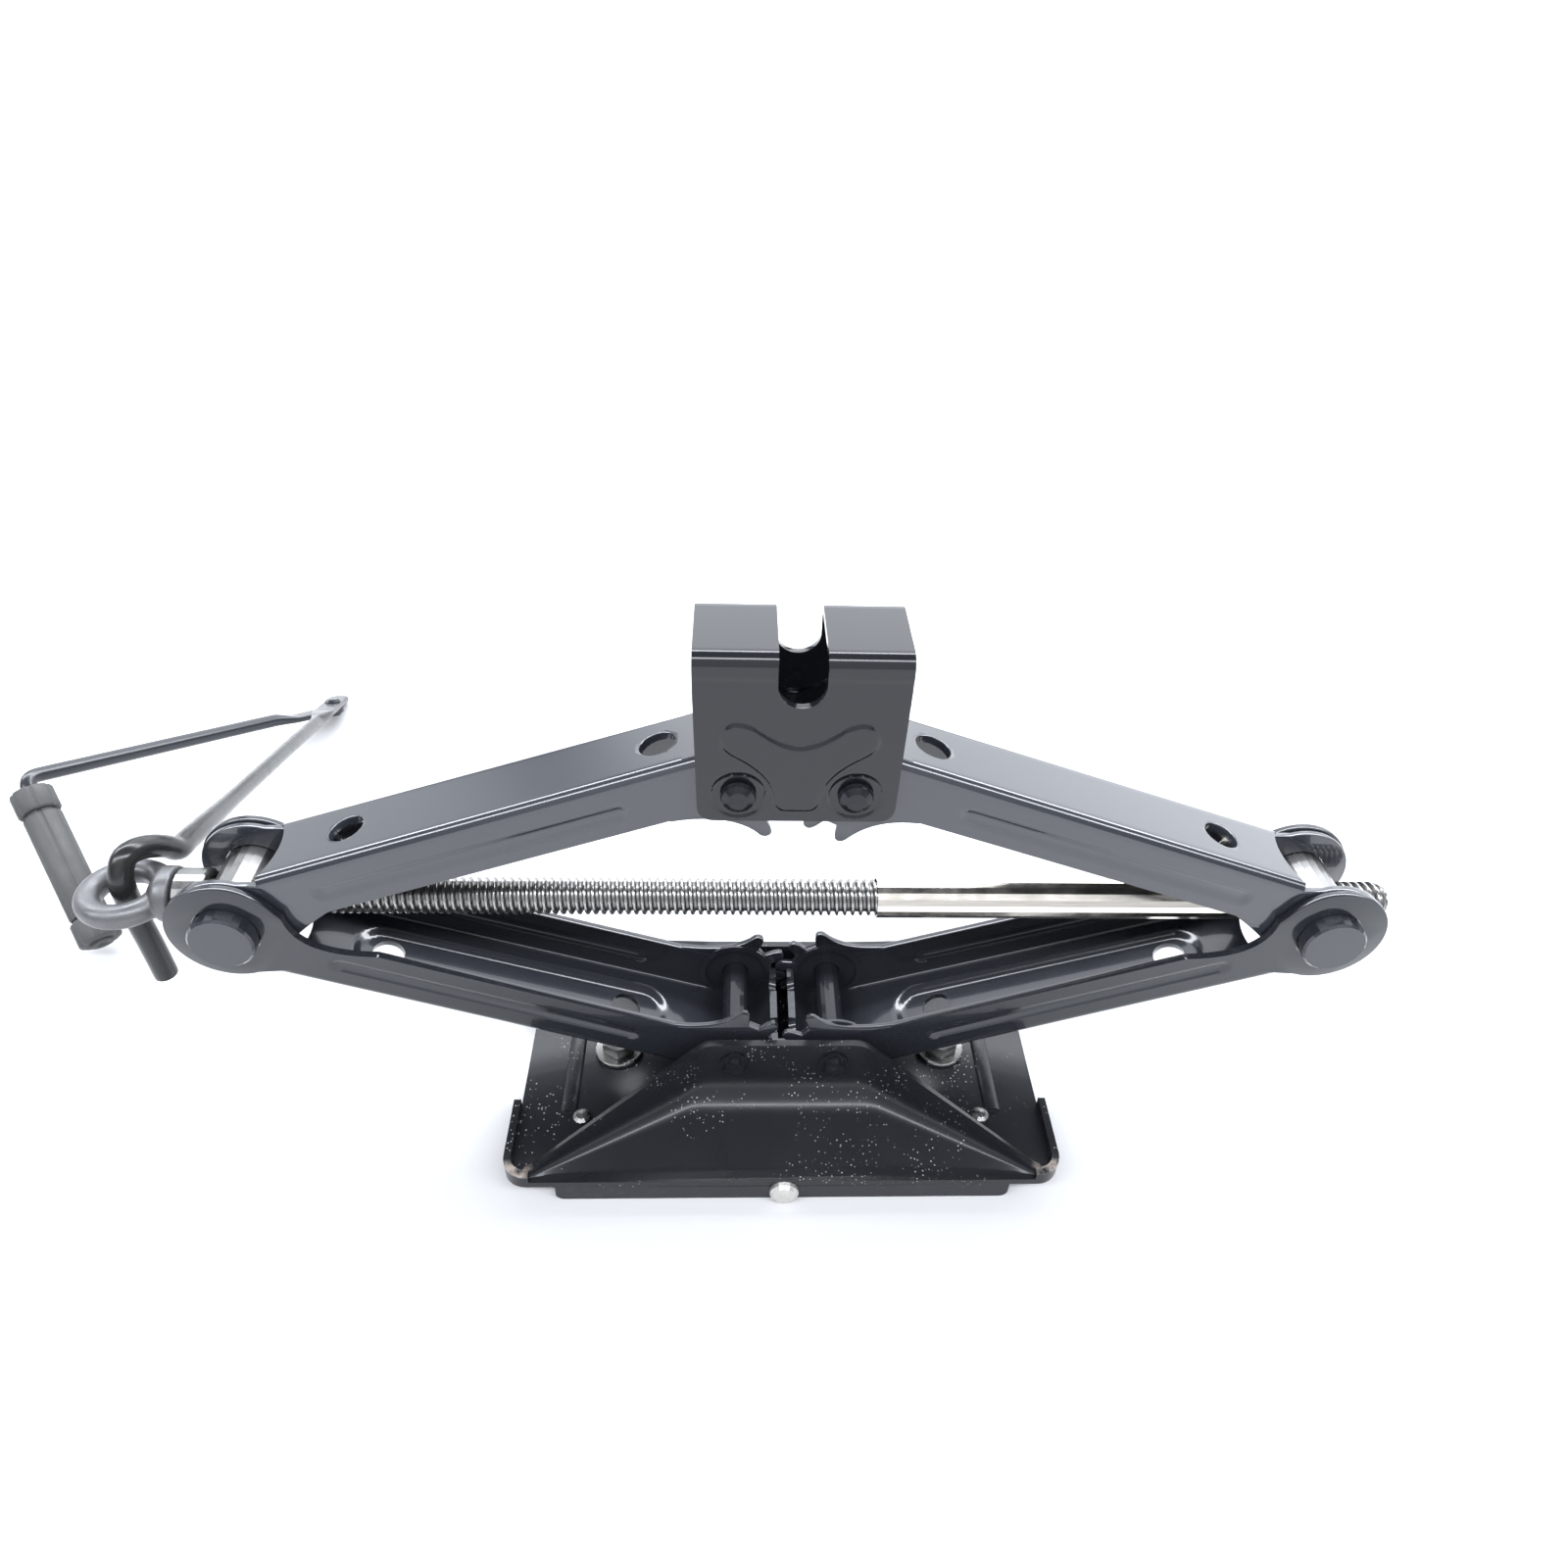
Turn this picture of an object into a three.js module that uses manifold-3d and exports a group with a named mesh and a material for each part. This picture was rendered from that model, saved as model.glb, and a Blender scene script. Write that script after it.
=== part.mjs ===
// Scissor jack with a folding crank handle. Millimetres, +Z up. The origin is the middle of the
// underside of the mounting plate, +X runs along the screw towards the nut, +Y points away from
// the side that shows the locking button.
import * as THREE from 'three';
import { mergeVertices } from 'three/addons/utils/BufferGeometryUtils.js';
import Module from 'manifold-3d';

const wasm = await Module();
wasm.setup();

// ---- driving dimensions ---------------------------------------------------------------------
const SPAN = 400;               // between the two knuckle axes
const PIN_SPACING = 38.8;       // between the two base pins, and between the two saddle pins
const RISE = 62.8;              // base pins to screw axis, and screw axis to saddle pins
const SCREW_Z = 101.4;          // screw axis above the floor
const SHEET = 2.8;              // pressed steel sheet of the arms and the base
const GAP = 0.3;                // running clearance between touching pieces

const REACH = (SPAN - PIN_SPACING) / 2;
const ARM = Math.hypot(REACH, RISE);
const ARM_TILT = Math.atan2(RISE, REACH);
const PIN_X = PIN_SPACING / 2;
const BASE_PIN_Z = SCREW_Z - RISE;
const SADDLE_PIN_Z = SCREW_Z + RISE;

// arms: distances across the pin line, with the web on the + side
const UPPER = { atKnuckle: 16.9, atPin: 15.3, web: 16.3, lip: 5.3, ear: 20.6, dished: false };
const LOWER = { atKnuckle: 20.1, atPin: 22.4, web: 15.8, lip: 6.4, ear: 21.2, dished: true };
const BEND = 4;                 // outside radius of a sheet bend
const CHANNEL = [20, ARM - 6];  // stretch of an arm that is a plain channel
const WEB_SCOOP = 30;           // radius of the concave cut at the knuckle end of a web
const RIB = { from: 37, to: 153, at: 3.5, half: 2.4, depth: 1 };
const DISH = { from: 42, to: 165, half: 9.5, depth: 1.3 };
const WEB_HOLES = { at: [51, 168], radius: 6.5 };
const DISH_HOLES = { at: [54, 149], radius: 6 };

// gear teeth at the pin end of every arm; one flange is half a tooth out of step with the other
const PITCH_ANGLE = 36;
const TOOTH = { root: 15.6, pitch: PIN_X, tip: 22.1, atRoot: 9.4, atPitch: 7, atTip: 3.2 };
const FIRST_TOOTH = { plus: -99, minus: -81 };
const LAST_TOOTH = 15;           // no tooth stands above this angle
const CURL = { grow: 1.4, end: -26, tie: 15.3, ring: 2.6 };
const CURL_NOTCH = { y: 9.5, radius: 3.4 };

// knuckles, screw and thrust bearing
const EAR = { from: 52, sweep: 260, steps: 20, waist: [21, -10.4], blend: 36, end: 44, shoulder: 24 };
const HUB = { arcEnd: 24, arcStep: 6, waist: 5.5, drop: 3, blend: 26, end: 34, shoulder: 12, flat: 8 };
const CURL_STEPS = 12;
const PIN = { arm: 5, base: 4.7 };          // pin radius in the arms and saddle, and in the base pan
const TRUNNION = { radius: 11.6, half: 25.8, chamfer: 0.8 };
const SCREW = { radius: 6.9, journal: 5.9, end: 228.7, neck: -223.6, thread: -184 };
const SLEEVE = { outer: 7.8, inner: 7.2, length: 155 };
const THRUST = { outer: 9.7, inner: 8.5, from: -222.8, to: -211.95, bore: 6.25 };
const EYE = { x: -242.9, major: 12.8, minor: 4.7, squash: 0.96 };
const COLLAR = { radius: 10.5, from: -229.8 };

// saddle
const SADDLE = { width: 68, narrow: 65.6, half: 18.2, sheet: 2.6, top: SCREW_Z + 116,
  bottom: SCREW_Z + 52.1, bend: 5, corner: 6, slot: 15.1, slotBottom: SCREW_Z + 97.6,
  boss: 0.9, shoulder: 12 };
const PIN_RING = { outer: 9.2, inner: 8, depth: 0.6 };  // ring pressed around each saddle pin

// base pan, as (distance from the middle plane, height) of its wall
const PLATE = { halfX: 87.5, halfY: 62.3, thick: 8.1, corner: 3.2 };
const PAN = { floor: PLATE.thick + GAP, sheet: 3, halfX: 104.8, rimX: 107.4, halfY: 62.5,
  rimFrom: 28, rimTop: 15.6, corner: 9 };
// stations up the wall: height share, outside point in the middle, at the end, and outward lean
const WALL = [
  { row: 0, mid: [62.5, 9.7], end: [62.5, 9.7], lean: 17, flat: 37 },
  { row: 0.5, mid: [33, 18.6], end: [60.6, 15.2], lean: 32, flat: 37 },
  { row: 0.65, mid: [27.6, 25], end: [60.7, 15.4], lean: 66, flat: 34 },
  { row: 1, mid: [27.6, 48.4], end: [60.8, 16], lean: 90, flat: 31 }];
const WALL_END_LEAN = 60;
const WALL_COLUMNS = [0, 18, 31, 37, 46, 58, 74, 88, 99];
const CHEEK = 27.6;
const BOLT = { x: 68, across: 7.4, head: 5.3, shank: 4, crown: 4.2, tip: 6.2 };
const WASHER = { bore: 4.4, outer: 10.2, thick: 2 };
const STUD = { x: 80, y: 34, shank: 2, head: 3.8, height: 2.8 };
const BUTTON = { z: 5.6, radius: 5.6, shaft: 1.9, depth: 12 };
const RIM = { from: 97, to: 110, inner: 27.9, outer: 70 };
const BEAD = { x: 85.6, half: 31, radius: 3.4, lift: 1.5 };

// folding handle, as centre-line points beside the left knuckle, heights above the floor
const ROD = { hook: 4.4, straight: 3.5, taper: 22 };  // radii, and where the taper ends
const HOOK_STEPS = 22;
const HOOK = [[-241.4, 0, 57.8], [-242, 0, 74], [-243, 0, 92], [-243, 0, 105.4], [-242.6, 1.4, 110.6],
  [-241.2, 5, 114.8], [-238.8, 10, 114.4], [-236.4, 15, 111.4], [-234.5, 19.5, 107.2],
  [-233.2, 23.5, 102.6]];
const FOLD = new THREE.Vector3(-262, 259.5, 7.6);
const CORNER = new THREE.Vector3(-354, 120, 60.5);
const GRIP_END = new THREE.Vector3(-310, 63, 10.2);
const TAB = { half: 5.8, thick: 3, back: 22, beyond: 20, rivet: 2.6, head: 4.6 };
const GRIP = { start: 7.5, radius: 8.2, collar: 9.1, collarLength: 12, bore: ROD.straight + GAP };
const GRIP_FLUTES = 6;
const ELBOW = 7;                // length of each leg of the crank's bend

// ---- materials --------------------------------------------------------------------------------
const finish = (color, roughness, metalness) => ({ color, roughness, metalness });
const BLACK_PAINT = finish(0x24262b, 0.32, 0.25);
const ARM_PAINT = finish(0x3a3c42, 0.35, 0.25);
const BRIGHT_STEEL = finish(0xb4b2ad, 0.3, 0.95);
const SCREW_STEEL = finish(0x77736c, 0.42, 0.9);
const FORGED = finish(0x7d7f82, 0.5, 0.85);
const ZINC = finish(0xb9bdb9, 0.35, 0.9);
const ROD_STEEL = finish(0x4b4c4f, 0.45, 0.7);
const GRIP_PLASTIC = finish(0x3c3d41, 0.6, 0);

// ---- small geometry kit -----------------------------------------------------------------------
const degrees = (angle) => angle * Math.PI / 180;
const mix = (a, b, t) => a + (b - a) * t;

function solid(geometry) {
  const bare = geometry.index ? geometry.toNonIndexed() : geometry.clone();
  Object.keys(bare.attributes).filter((name) => name !== 'position')
    .forEach((name) => bare.deleteAttribute(name));
  const welded = mergeVertices(bare, 1e-4);
  const corners = Array.from(welded.index.array);
  const kept = [];
  for (let i = 0; i < corners.length; i += 3) {
    const [a, b, c] = corners.slice(i, i + 3);
    if (a !== b && b !== c && c !== a) kept.push(a, b, c);
  }
  return new wasm.Manifold(new wasm.Mesh({ numProp: 3,
    vertProperties: Float32Array.from(welded.attributes.position.array),
    triVerts: Uint32Array.from(kept) }));
}

function geometryOf(body) {
  const found = body.getMesh();
  const geometry = new THREE.BufferGeometry();
  geometry.setAttribute('position', new THREE.Float32BufferAttribute(found.vertProperties, 3));
  geometry.setIndex(Array.from(found.triVerts));
  return geometry;
}

function piece(name, body, look) {
  const mesh = new THREE.Mesh(geometryOf(body), new THREE.MeshStandardMaterial(look));
  mesh.name = name;
  mesh.geometry.computeVertexNormals();
  return mesh;
}

const join = (bodies) => bodies.reduce((all, body) => all.add(body));
const cut = (body, cutters) => cutters.reduce((left, cutter) => left.subtract(cutter), body);

// block between two opposite corners
function block([x0, y0, z0], [x1, y1, z1]) {
  const geometry = new THREE.BoxGeometry(x1 - x0, y1 - y0, z1 - z0);
  return solid(geometry.translate((x0 + x1) / 2, (y0 + y1) / 2, (z0 + z1) / 2));
}

// turn about a line along X, Y or Z: the profile is a list of [radius, distance along the axis]
const TO_AXIS = { x: [0, 0, -Math.PI / 2], y: [0, 0, 0], z: [Math.PI / 2, 0, 0] };
function turned(profile, axis, [x, y, z], segments = 28) {
  const points = profile.map(([r, along]) => new THREE.Vector2(r, along));
  const geometry = new THREE.LatheGeometry(points, segments);
  const [rx, ry, rz] = TO_AXIS[axis];
  return solid(geometry.applyMatrix4(new THREE.Matrix4().makeRotationFromEuler(
    new THREE.Euler(rx, ry, rz))).translate(x, y, z));
}

const rod = (axis, radius, from, to, centre, segments) =>
  turned([[0, from], [radius, from], [radius, to], [0, to]], axis, centre, segments);

const ring = (axis, outer, inner, from, to, centre, segments) =>
  turned([[inner, from], [outer, from], [outer, to], [inner, to], [inner, from]], axis, centre, segments);

// outline in the X-Z plane, extruded from y0 to y1
function slab(outline, y0, y1) {
  const shape = Array.isArray(outline)
    ? new THREE.Shape(outline.map(([x, z]) => new THREE.Vector2(x, z))) : outline;
  const geometry = new THREE.ExtrudeGeometry(shape, { depth: y1 - y0, bevelEnabled: false,
    curveSegments: 4 });
  return solid(geometry.rotateX(Math.PI / 2).translate(0, y1, 0));
}

// outline in the X-Y plane, extruded from z0 to z1
function sheet(shape, z0, z1) {
  const geometry = new THREE.ExtrudeGeometry(shape, { depth: z1 - z0, bevelEnabled: false,
    curveSegments: 4 });
  return solid(geometry.translate(0, 0, z0));
}

// straight slot with round ends, along the first axis of the outline
function stadium(from, to, at, half) {
  const shape = new THREE.Shape();
  shape.moveTo(from + half, at - half);
  shape.lineTo(to - half, at - half);
  shape.absarc(to - half, at, half, -Math.PI / 2, Math.PI / 2, false);
  shape.lineTo(from + half, at + half);
  shape.absarc(from + half, at, half, Math.PI / 2, 3 * Math.PI / 2, false);
  return shape;
}

// centre line that visits the given points one step at a time, so straight runs stay coarse
class RodLine extends THREE.Curve {
  constructor(points) {
    super();
    this.points = points;
  }

  getPointAt(share, target = new THREE.Vector3()) {
    return target.copy(this.points[Math.round(share * (this.points.length - 1))]);
  }

  getTangentAt(share, target = new THREE.Vector3()) {
    const last = this.points.length - 1;
    const k = Math.round(share * last);
    const before = this.points[Math.max(k - 1, 0)];
    const after = this.points[Math.min(k + 1, last)];
    return target.copy(after).sub(before).normalize();
  }
}

// rod of round section through a list of centre-line points, each with its own radius
function bentRod(points, radii) {
  const section = new THREE.Shape();
  section.absarc(0, 0, 1, 0, 2 * Math.PI, false);
  const geometry = new THREE.ExtrudeGeometry(section, { steps: points.length - 1,
    bevelEnabled: false, curveSegments: 5, extrudePath: new RodLine(points) });
  const position = geometry.attributes.position;
  const corner = new THREE.Vector3();
  for (let i = 0; i < position.count; i++) {
    corner.fromBufferAttribute(position, i);
    const k = points.reduce((best, point, j) =>
      corner.distanceTo(point) < corner.distanceTo(points[best]) ? j : best, 0);
    corner.sub(points[k]).multiplyScalar(radii[k]).add(points[k]);
    position.setXYZ(i, corner.x, corner.y, corner.z);
  }
  return solid(geometry);
}

// ---- arms ---------------------------------------------------------------------------------------
// An arm lies along +X from its knuckle at the origin to its pin, with its web on the +Z side.
const halfWidth = (arm, s) => mix(arm.atKnuckle, arm.atPin, THREE.MathUtils.clamp(s / ARM, 0, 1));

function channelSection(arm) {
  const w = arm.atKnuckle;
  const inner = w - SHEET;
  const depth = arm.web + arm.lip;
  const tight = BEND - SHEET;
  const shape = new THREE.Shape();
  shape.moveTo(-w, -depth);
  shape.lineTo(-inner, -depth);
  shape.absarc(-inner + tight, -SHEET - tight, tight, Math.PI, Math.PI / 2, true);
  shape.absarc(inner - tight, -SHEET - tight, tight, Math.PI / 2, 0, true);
  shape.lineTo(inner, -depth);
  shape.lineTo(w, -depth);
  shape.absarc(w - BEND, -BEND, BEND, 0, Math.PI / 2, false);
  shape.absarc(-w + BEND, -BEND, BEND, Math.PI / 2, Math.PI, false);
  return shape;
}

function channel(arm) {
  const [from, to] = CHANNEL;
  const geometry = new THREE.ExtrudeGeometry(channelSection(arm), { depth: to - from,
    steps: 1, bevelEnabled: false, curveSegments: 2 });
  const position = geometry.attributes.position;
  for (let i = 0; i < position.count; i++) {
    const s = from + position.getZ(i);
    const across = position.getX(i);
    const widen = halfWidth(arm, s) - arm.atKnuckle;
    const share = THREE.MathUtils.clamp(across / (arm.atKnuckle - BEND), -1, 1);
    position.setXYZ(i, s, across + widen * share, arm.web + position.getY(i));
  }
  return solid(geometry);
}

// side plate around the knuckle, blended into the flange
function ear(arm) {
  const arc = Array.from({ length: EAR.steps + 1 }, (_, i) =>
    degrees(EAR.from + EAR.sweep * i / EAR.steps));
  const shape = new THREE.Shape(arc.map((angle) =>
    new THREE.Vector2(arm.ear * Math.cos(angle), arm.ear * Math.sin(angle))));
  shape.quadraticCurveTo(...EAR.waist, EAR.blend, -arm.lip);
  shape.lineTo(EAR.end, -arm.lip);
  shape.lineTo(EAR.end, arm.web - BEND);
  shape.lineTo(EAR.shoulder, arm.web - BEND);
  return shape;
}

const polar = (radius, angle) => [ARM + radius * Math.cos(degrees(angle)),
  radius * Math.sin(degrees(angle))];

// side plate around the pin with its gear teeth; `first` is the angle of the outermost tooth
function hub(arm, first) {
  const points = [];
  for (let angle = 90; angle >= HUB.arcEnd; angle -= HUB.arcStep) {
    points.push(polar(arm.web, angle));
  }
  const centres = [0, 1, 2, 3].map((k) => first + k * PITCH_ANGLE)
    .filter((c) => c < LAST_TOOTH).reverse();
  centres.forEach((c) => {
    points.push(polar(TOOTH.root, c + TOOTH.atRoot), polar(TOOTH.pitch, c + TOOTH.atPitch),
      polar(TOOTH.tip, c + TOOTH.atTip), polar(TOOTH.tip, c - TOOTH.atTip));
    if (c !== first) points.push(polar(TOOTH.pitch, c - TOOTH.atPitch),
      polar(TOOTH.root, c - TOOTH.atRoot));
  });
  const shape = new THREE.Shape(points.map(([x, z]) => new THREE.Vector2(x, z)));
  const [tipX, tipZ] = polar(TOOTH.tip - 1.2, first - TOOTH.atTip - 3);
  shape.lineTo(tipX, tipZ);
  shape.quadraticCurveTo(tipX - HUB.waist, -arm.lip - HUB.drop, ARM - HUB.blend, -arm.lip);
  shape.lineTo(ARM - HUB.end, -arm.lip);
  shape.lineTo(ARM - HUB.end, arm.web - BEND);
  shape.lineTo(ARM - HUB.shoulder, arm.web - BEND);
  shape.lineTo(ARM - HUB.flat, arm.web);
  return shape;
}

// the web rolls up around the pin between the two side plates
function curl(arm) {
  const outer = [];
  const inner = [];
  for (let angle = 90; angle >= CURL.end; angle -= (90 - CURL.end) / CURL_STEPS) {
    const radius = arm.web + CURL.grow * (90 - angle) / (90 - CURL.end);
    outer.push(polar(radius, angle));
    inner.unshift(polar(radius - SHEET, angle));
  }
  const outline = [[ARM - 14, arm.web], ...outer, ...inner, [ARM - 14, arm.web - SHEET]];
  const half = arm.atPin - SHEET;
  const edge = polar(arm.web + CURL.grow, CURL.end + 2);
  const notches = [-CURL_NOTCH.y, CURL_NOTCH.y].map((y) =>
    rod('x', CURL_NOTCH.radius, -8, 4, [edge[0], y, edge[1]], 10));
  return cut(slab(outline, -half, half), notches);
}

function earPlates(arm) {
  const w = arm.atKnuckle;
  return [slab(ear(arm), w - SHEET, w), slab(ear(arm), -w, SHEET - w)];
}

// the toothed plates stand clear of the curl of the mating arm; a ring ties them to their own curl
function hubPlates(arm) {
  const w = arm.atPin;
  const inside = w - SHEET;
  const tie = (from, to) => ring('y', CURL.tie, CURL.tie - CURL.ring, from, to, [ARM, 0, 0], 20);
  return [slab(hub(arm, FIRST_TOOTH.plus), inside + GAP, w), tie(inside - 0.5, inside + 0.5),
    slab(hub(arm, FIRST_TOOTH.minus), -w, -inside - GAP), tie(-inside - 0.5, 0.5 - inside)];
}

// long rib pressed into each flange: a groove outside and a ridge inside
function pressRibs(arm, body) {
  const outline = stadium(RIB.from, RIB.to, RIB.at, RIB.half);
  const w = halfWidth(arm, (RIB.from + RIB.to) / 2);
  const ridges = [slab(outline, w - SHEET - RIB.depth, w - SHEET + 0.4),
    slab(outline, SHEET - w - 0.4, SHEET - w + RIB.depth)];
  const grooves = [slab(outline, w - RIB.depth, w + 4), slab(outline, -w - 4, RIB.depth - w)];
  return cut(join([body, ...ridges]), grooves);
}

// long shallow dish pressed out of the web
function pressDish(arm, body) {
  const outer = sheet(stadium(DISH.from - 1, DISH.to + 1, 0, DISH.half + 1),
    arm.web - 0.5, arm.web + DISH.depth);
  const inner = sheet(stadium(DISH.from, DISH.to, 0, DISH.half),
    arm.web - SHEET - 1, arm.web - SHEET + DISH.depth);
  return cut(body.add(outer), [inner]);
}

function armBody(arm) {
  const scoop = rod('z', WEB_SCOOP, arm.web - SHEET - 1, arm.web + 2, [-5.6, 0, 0], 36);
  const keepEars = block([0, SHEET - arm.atKnuckle, 0], [40, arm.atKnuckle - SHEET, 40]);
  let body = cut(channel(arm), [scoop.intersect(keepEars)]);
  body = join([body, curl(arm), ...earPlates(arm), ...hubPlates(arm)]);
  body = pressRibs(arm, body);
  if (arm.dished) body = pressDish(arm, body);
  const holes = arm.dished ? DISH_HOLES : WEB_HOLES;
  const drills = holes.at.map((s) => rod('z', holes.radius, 0, 24, [s, 0, 0], 16));
  drills.push(rod('y', TRUNNION.radius + GAP, -30, 30, [0, 0, 0], 24));
  drills.push(rod('y', PIN.arm + GAP, -30, 30, [ARM, 0, 0], 14));
  return cut(body, drills);
}

// puts an arm between its knuckle and its pin; side is -1 on the left and +1 on the right
function placeArm(mesh, side, lower) {
  const tilted = new THREE.Group();
  if (lower) mesh.rotation.x = Math.PI;
  tilted.add(mesh);
  tilted.rotation.y = lower ? ARM_TILT : -ARM_TILT;
  const turnedGroup = new THREE.Group();
  turnedGroup.add(tilted);
  turnedGroup.rotation.z = side > 0 ? Math.PI : 0;
  turnedGroup.position.set(side * SPAN / 2, 0, SCREW_Z);
  return turnedGroup;
}

function arms() {
  const upper = armBody(UPPER);
  const lower = armBody(LOWER);
  return [[-1, 'left'], [1, 'right']].flatMap(([side, word]) => [
    placeArm(piece(`upper_arm_${word}`, upper, ARM_PAINT), side, false),
    placeArm(piece(`lower_arm_${word}`, lower, BLACK_PAINT), side, true)]);
}

// ---- pins -----------------------------------------------------------------------------------------
function saddlePin(side) {
  const face = SADDLE.half + 0.1;
  const half = [[0, face + 3], [3.4, face + 2.8], [5.4, face + 1.6], [6, face], [PIN.arm, face]];
  const mirrored = half.map(([r, along]) => [r, -along]).reverse();
  return turned([...half, ...mirrored].reverse(), 'y', [side * PIN_X, 0, SADDLE_PIN_Z], 20);
}

function basePin(side) {
  const face = CHEEK + GAP;
  const shoulder = CHEEK - SHEET - GAP;
  const arm = LOWER.atPin + GAP;
  const half = [[0, face + 3.6], [3.7, face + 3.6], [3.9, face + 1.2], [5.8, face + 1.1], [5.8, face],
    [PIN.base, face], [PIN.base, shoulder], [6.6, shoulder], [6.6, arm], [PIN.arm, arm]];
  const mirrored = half.map(([r, along]) => [r, -along]).reverse();
  return turned([...half, ...mirrored].reverse(), 'y', [side * PIN_X, 0, BASE_PIN_Z], 16);
}

// ---- saddle ---------------------------------------------------------------------------------------
function saddleShell() {
  const { half, sheet: t, top, bottom, bend } = SADDLE;
  const section = new THREE.Shape();
  section.moveTo(-half, bottom);
  section.lineTo(-half + t, bottom);
  section.absarc(-half + bend, top - bend, bend - t, Math.PI, Math.PI / 2, true);
  section.absarc(half - bend, top - bend, bend - t, Math.PI / 2, 0, true);
  section.lineTo(half - t, bottom);
  section.lineTo(half, bottom);
  section.absarc(half - bend, top - bend, bend, 0, Math.PI / 2, false);
  section.absarc(-half + bend, top - bend, bend, Math.PI / 2, Math.PI, false);
  const geometry = new THREE.ExtrudeGeometry(section, { depth: SADDLE.width, bevelEnabled: false,
    curveSegments: 3 });
  geometry.rotateX(Math.PI / 2).rotateZ(Math.PI / 2);
  return solid(geometry.translate(SADDLE.width / -2, 0, 0));
}

function saddleOutline() {
  const { width, narrow, bottom, top, corner, shoulder } = SADDLE;
  const shape = new THREE.Shape();
  shape.moveTo(-narrow / 2 + corner, bottom);
  shape.lineTo(narrow / 2 - corner, bottom);
  shape.quadraticCurveTo(narrow / 2, bottom, narrow / 2 + 0.2, bottom + corner);
  shape.lineTo(width / 2, top - shoulder);
  shape.lineTo(width / 2, top + 1);
  shape.lineTo(-width / 2, top + 1);
  shape.lineTo(-width / 2, top - shoulder);
  shape.lineTo(-narrow / 2 - 0.2, bottom + corner);
  shape.quadraticCurveTo(-narrow / 2, bottom, -narrow / 2 + corner, bottom);
  return shape;
}

function saddleSlot() {
  const r = SADDLE.slot / 2;
  const shape = new THREE.Shape();
  shape.moveTo(-r, SADDLE.top + 2);
  shape.lineTo(-r, SADDLE.slotBottom + r);
  shape.absarc(0, SADDLE.slotBottom + r, r, Math.PI, 2 * Math.PI, false);
  shape.lineTo(r, SADDLE.top + 2);
  return shape;
}

// Y-shaped stiffening boss: two arms and a foot with flared waists
function bossOutline() {
  const z = SADDLE_PIN_Z;
  const shape = new THREE.Shape();
  shape.moveTo(-4, z - 5.6);
  shape.lineTo(4, z - 5.6);
  shape.quadraticCurveTo(7, z - 5.4, 7.6, z - 1);
  shape.quadraticCurveTo(8.6, z + 12, 21.5, z + 19);
  shape.quadraticCurveTo(26.5, z + 25, 21, z + 29.4);
  shape.quadraticCurveTo(17.5, z + 31.4, 13, z + 28);
  shape.quadraticCurveTo(0, z + 18.5, -13, z + 28);
  shape.quadraticCurveTo(-17.5, z + 31.4, -21, z + 29.4);
  shape.quadraticCurveTo(-26.5, z + 25, -21.5, z + 19);
  shape.quadraticCurveTo(-8.6, z + 12, -7.6, z - 1);
  shape.quadraticCurveTo(-7, z - 5.4, -4, z - 5.6);
  return shape;
}

function saddleBody() {
  const { half, boss } = SADDLE;
  const { outer, inner, depth } = PIN_RING;
  let body = saddleShell().intersect(slab(saddleOutline(), -half - 1, half + 1));
  body = body.add(slab(bossOutline(), -half - boss, -half + 0.5));
  body = body.add(slab(bossOutline(), half - 0.5, half + boss));
  const cutters = [slab(saddleSlot(), -half - 3, half + 3)];
  [-1, 1].forEach((side) => {
    const at = [side * PIN_X, 0, SADDLE_PIN_Z];
    cutters.push(rod('y', PIN.arm + GAP, -half - 2, half + 2, at, 14));
    cutters.push(ring('y', outer, inner, half - depth, half + 2, at, 20));
    cutters.push(ring('y', outer, inner, -half - 2, -half + depth, at, 20));
  });
  return cut(body, cutters);
}

// ---- base -----------------------------------------------------------------------------------------
// one point of the base wall: x along it, v the share of its height, depth the share of its sheet
function wallPoint(x, v, depth) {
  const k = Math.max(WALL.findIndex((station) => station.row >= v), 1);
  const t = (v - WALL[k - 1].row) / (WALL[k].row - WALL[k - 1].row);
  const end = WALL_COLUMNS[WALL_COLUMNS.length - 1];
  const [low, high] = [WALL[k - 1], WALL[k]].map(({ mid, end: far, lean, flat }) => {
    const share = THREE.MathUtils.clamp((Math.abs(x) - flat) / (end - flat), 0, 1);
    const angle = degrees(mix(lean, WALL_END_LEAN, share));
    return [mix(mid[0], far[0], share) - depth * SHEET * Math.sin(angle),
      mix(mid[1], far[1], share) - depth * SHEET * Math.cos(angle)];
  });
  return [x, -mix(low[0], high[0], t), mix(low[1], high[1], t)];
}

function baseWall() {
  const along = [...WALL_COLUMNS.slice(1).map((x) => -x).reverse(), ...WALL_COLUMNS];
  const up = WALL.map((station) => station.row);
  const geometry = new THREE.BoxGeometry(1, 1, 1, along.length - 1, 1, up.length - 1);
  const position = geometry.attributes.position;
  for (let i = 0; i < position.count; i++) {
    const column = Math.round((position.getX(i) + 0.5) * (along.length - 1));
    const row = Math.round((position.getZ(i) + 0.5) * (up.length - 1));
    const depth = position.getY(i) + 0.5;
    position.setXYZ(i, ...wallPoint(along[column], up[row], depth));
  }
  return solid(geometry);
}

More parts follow.
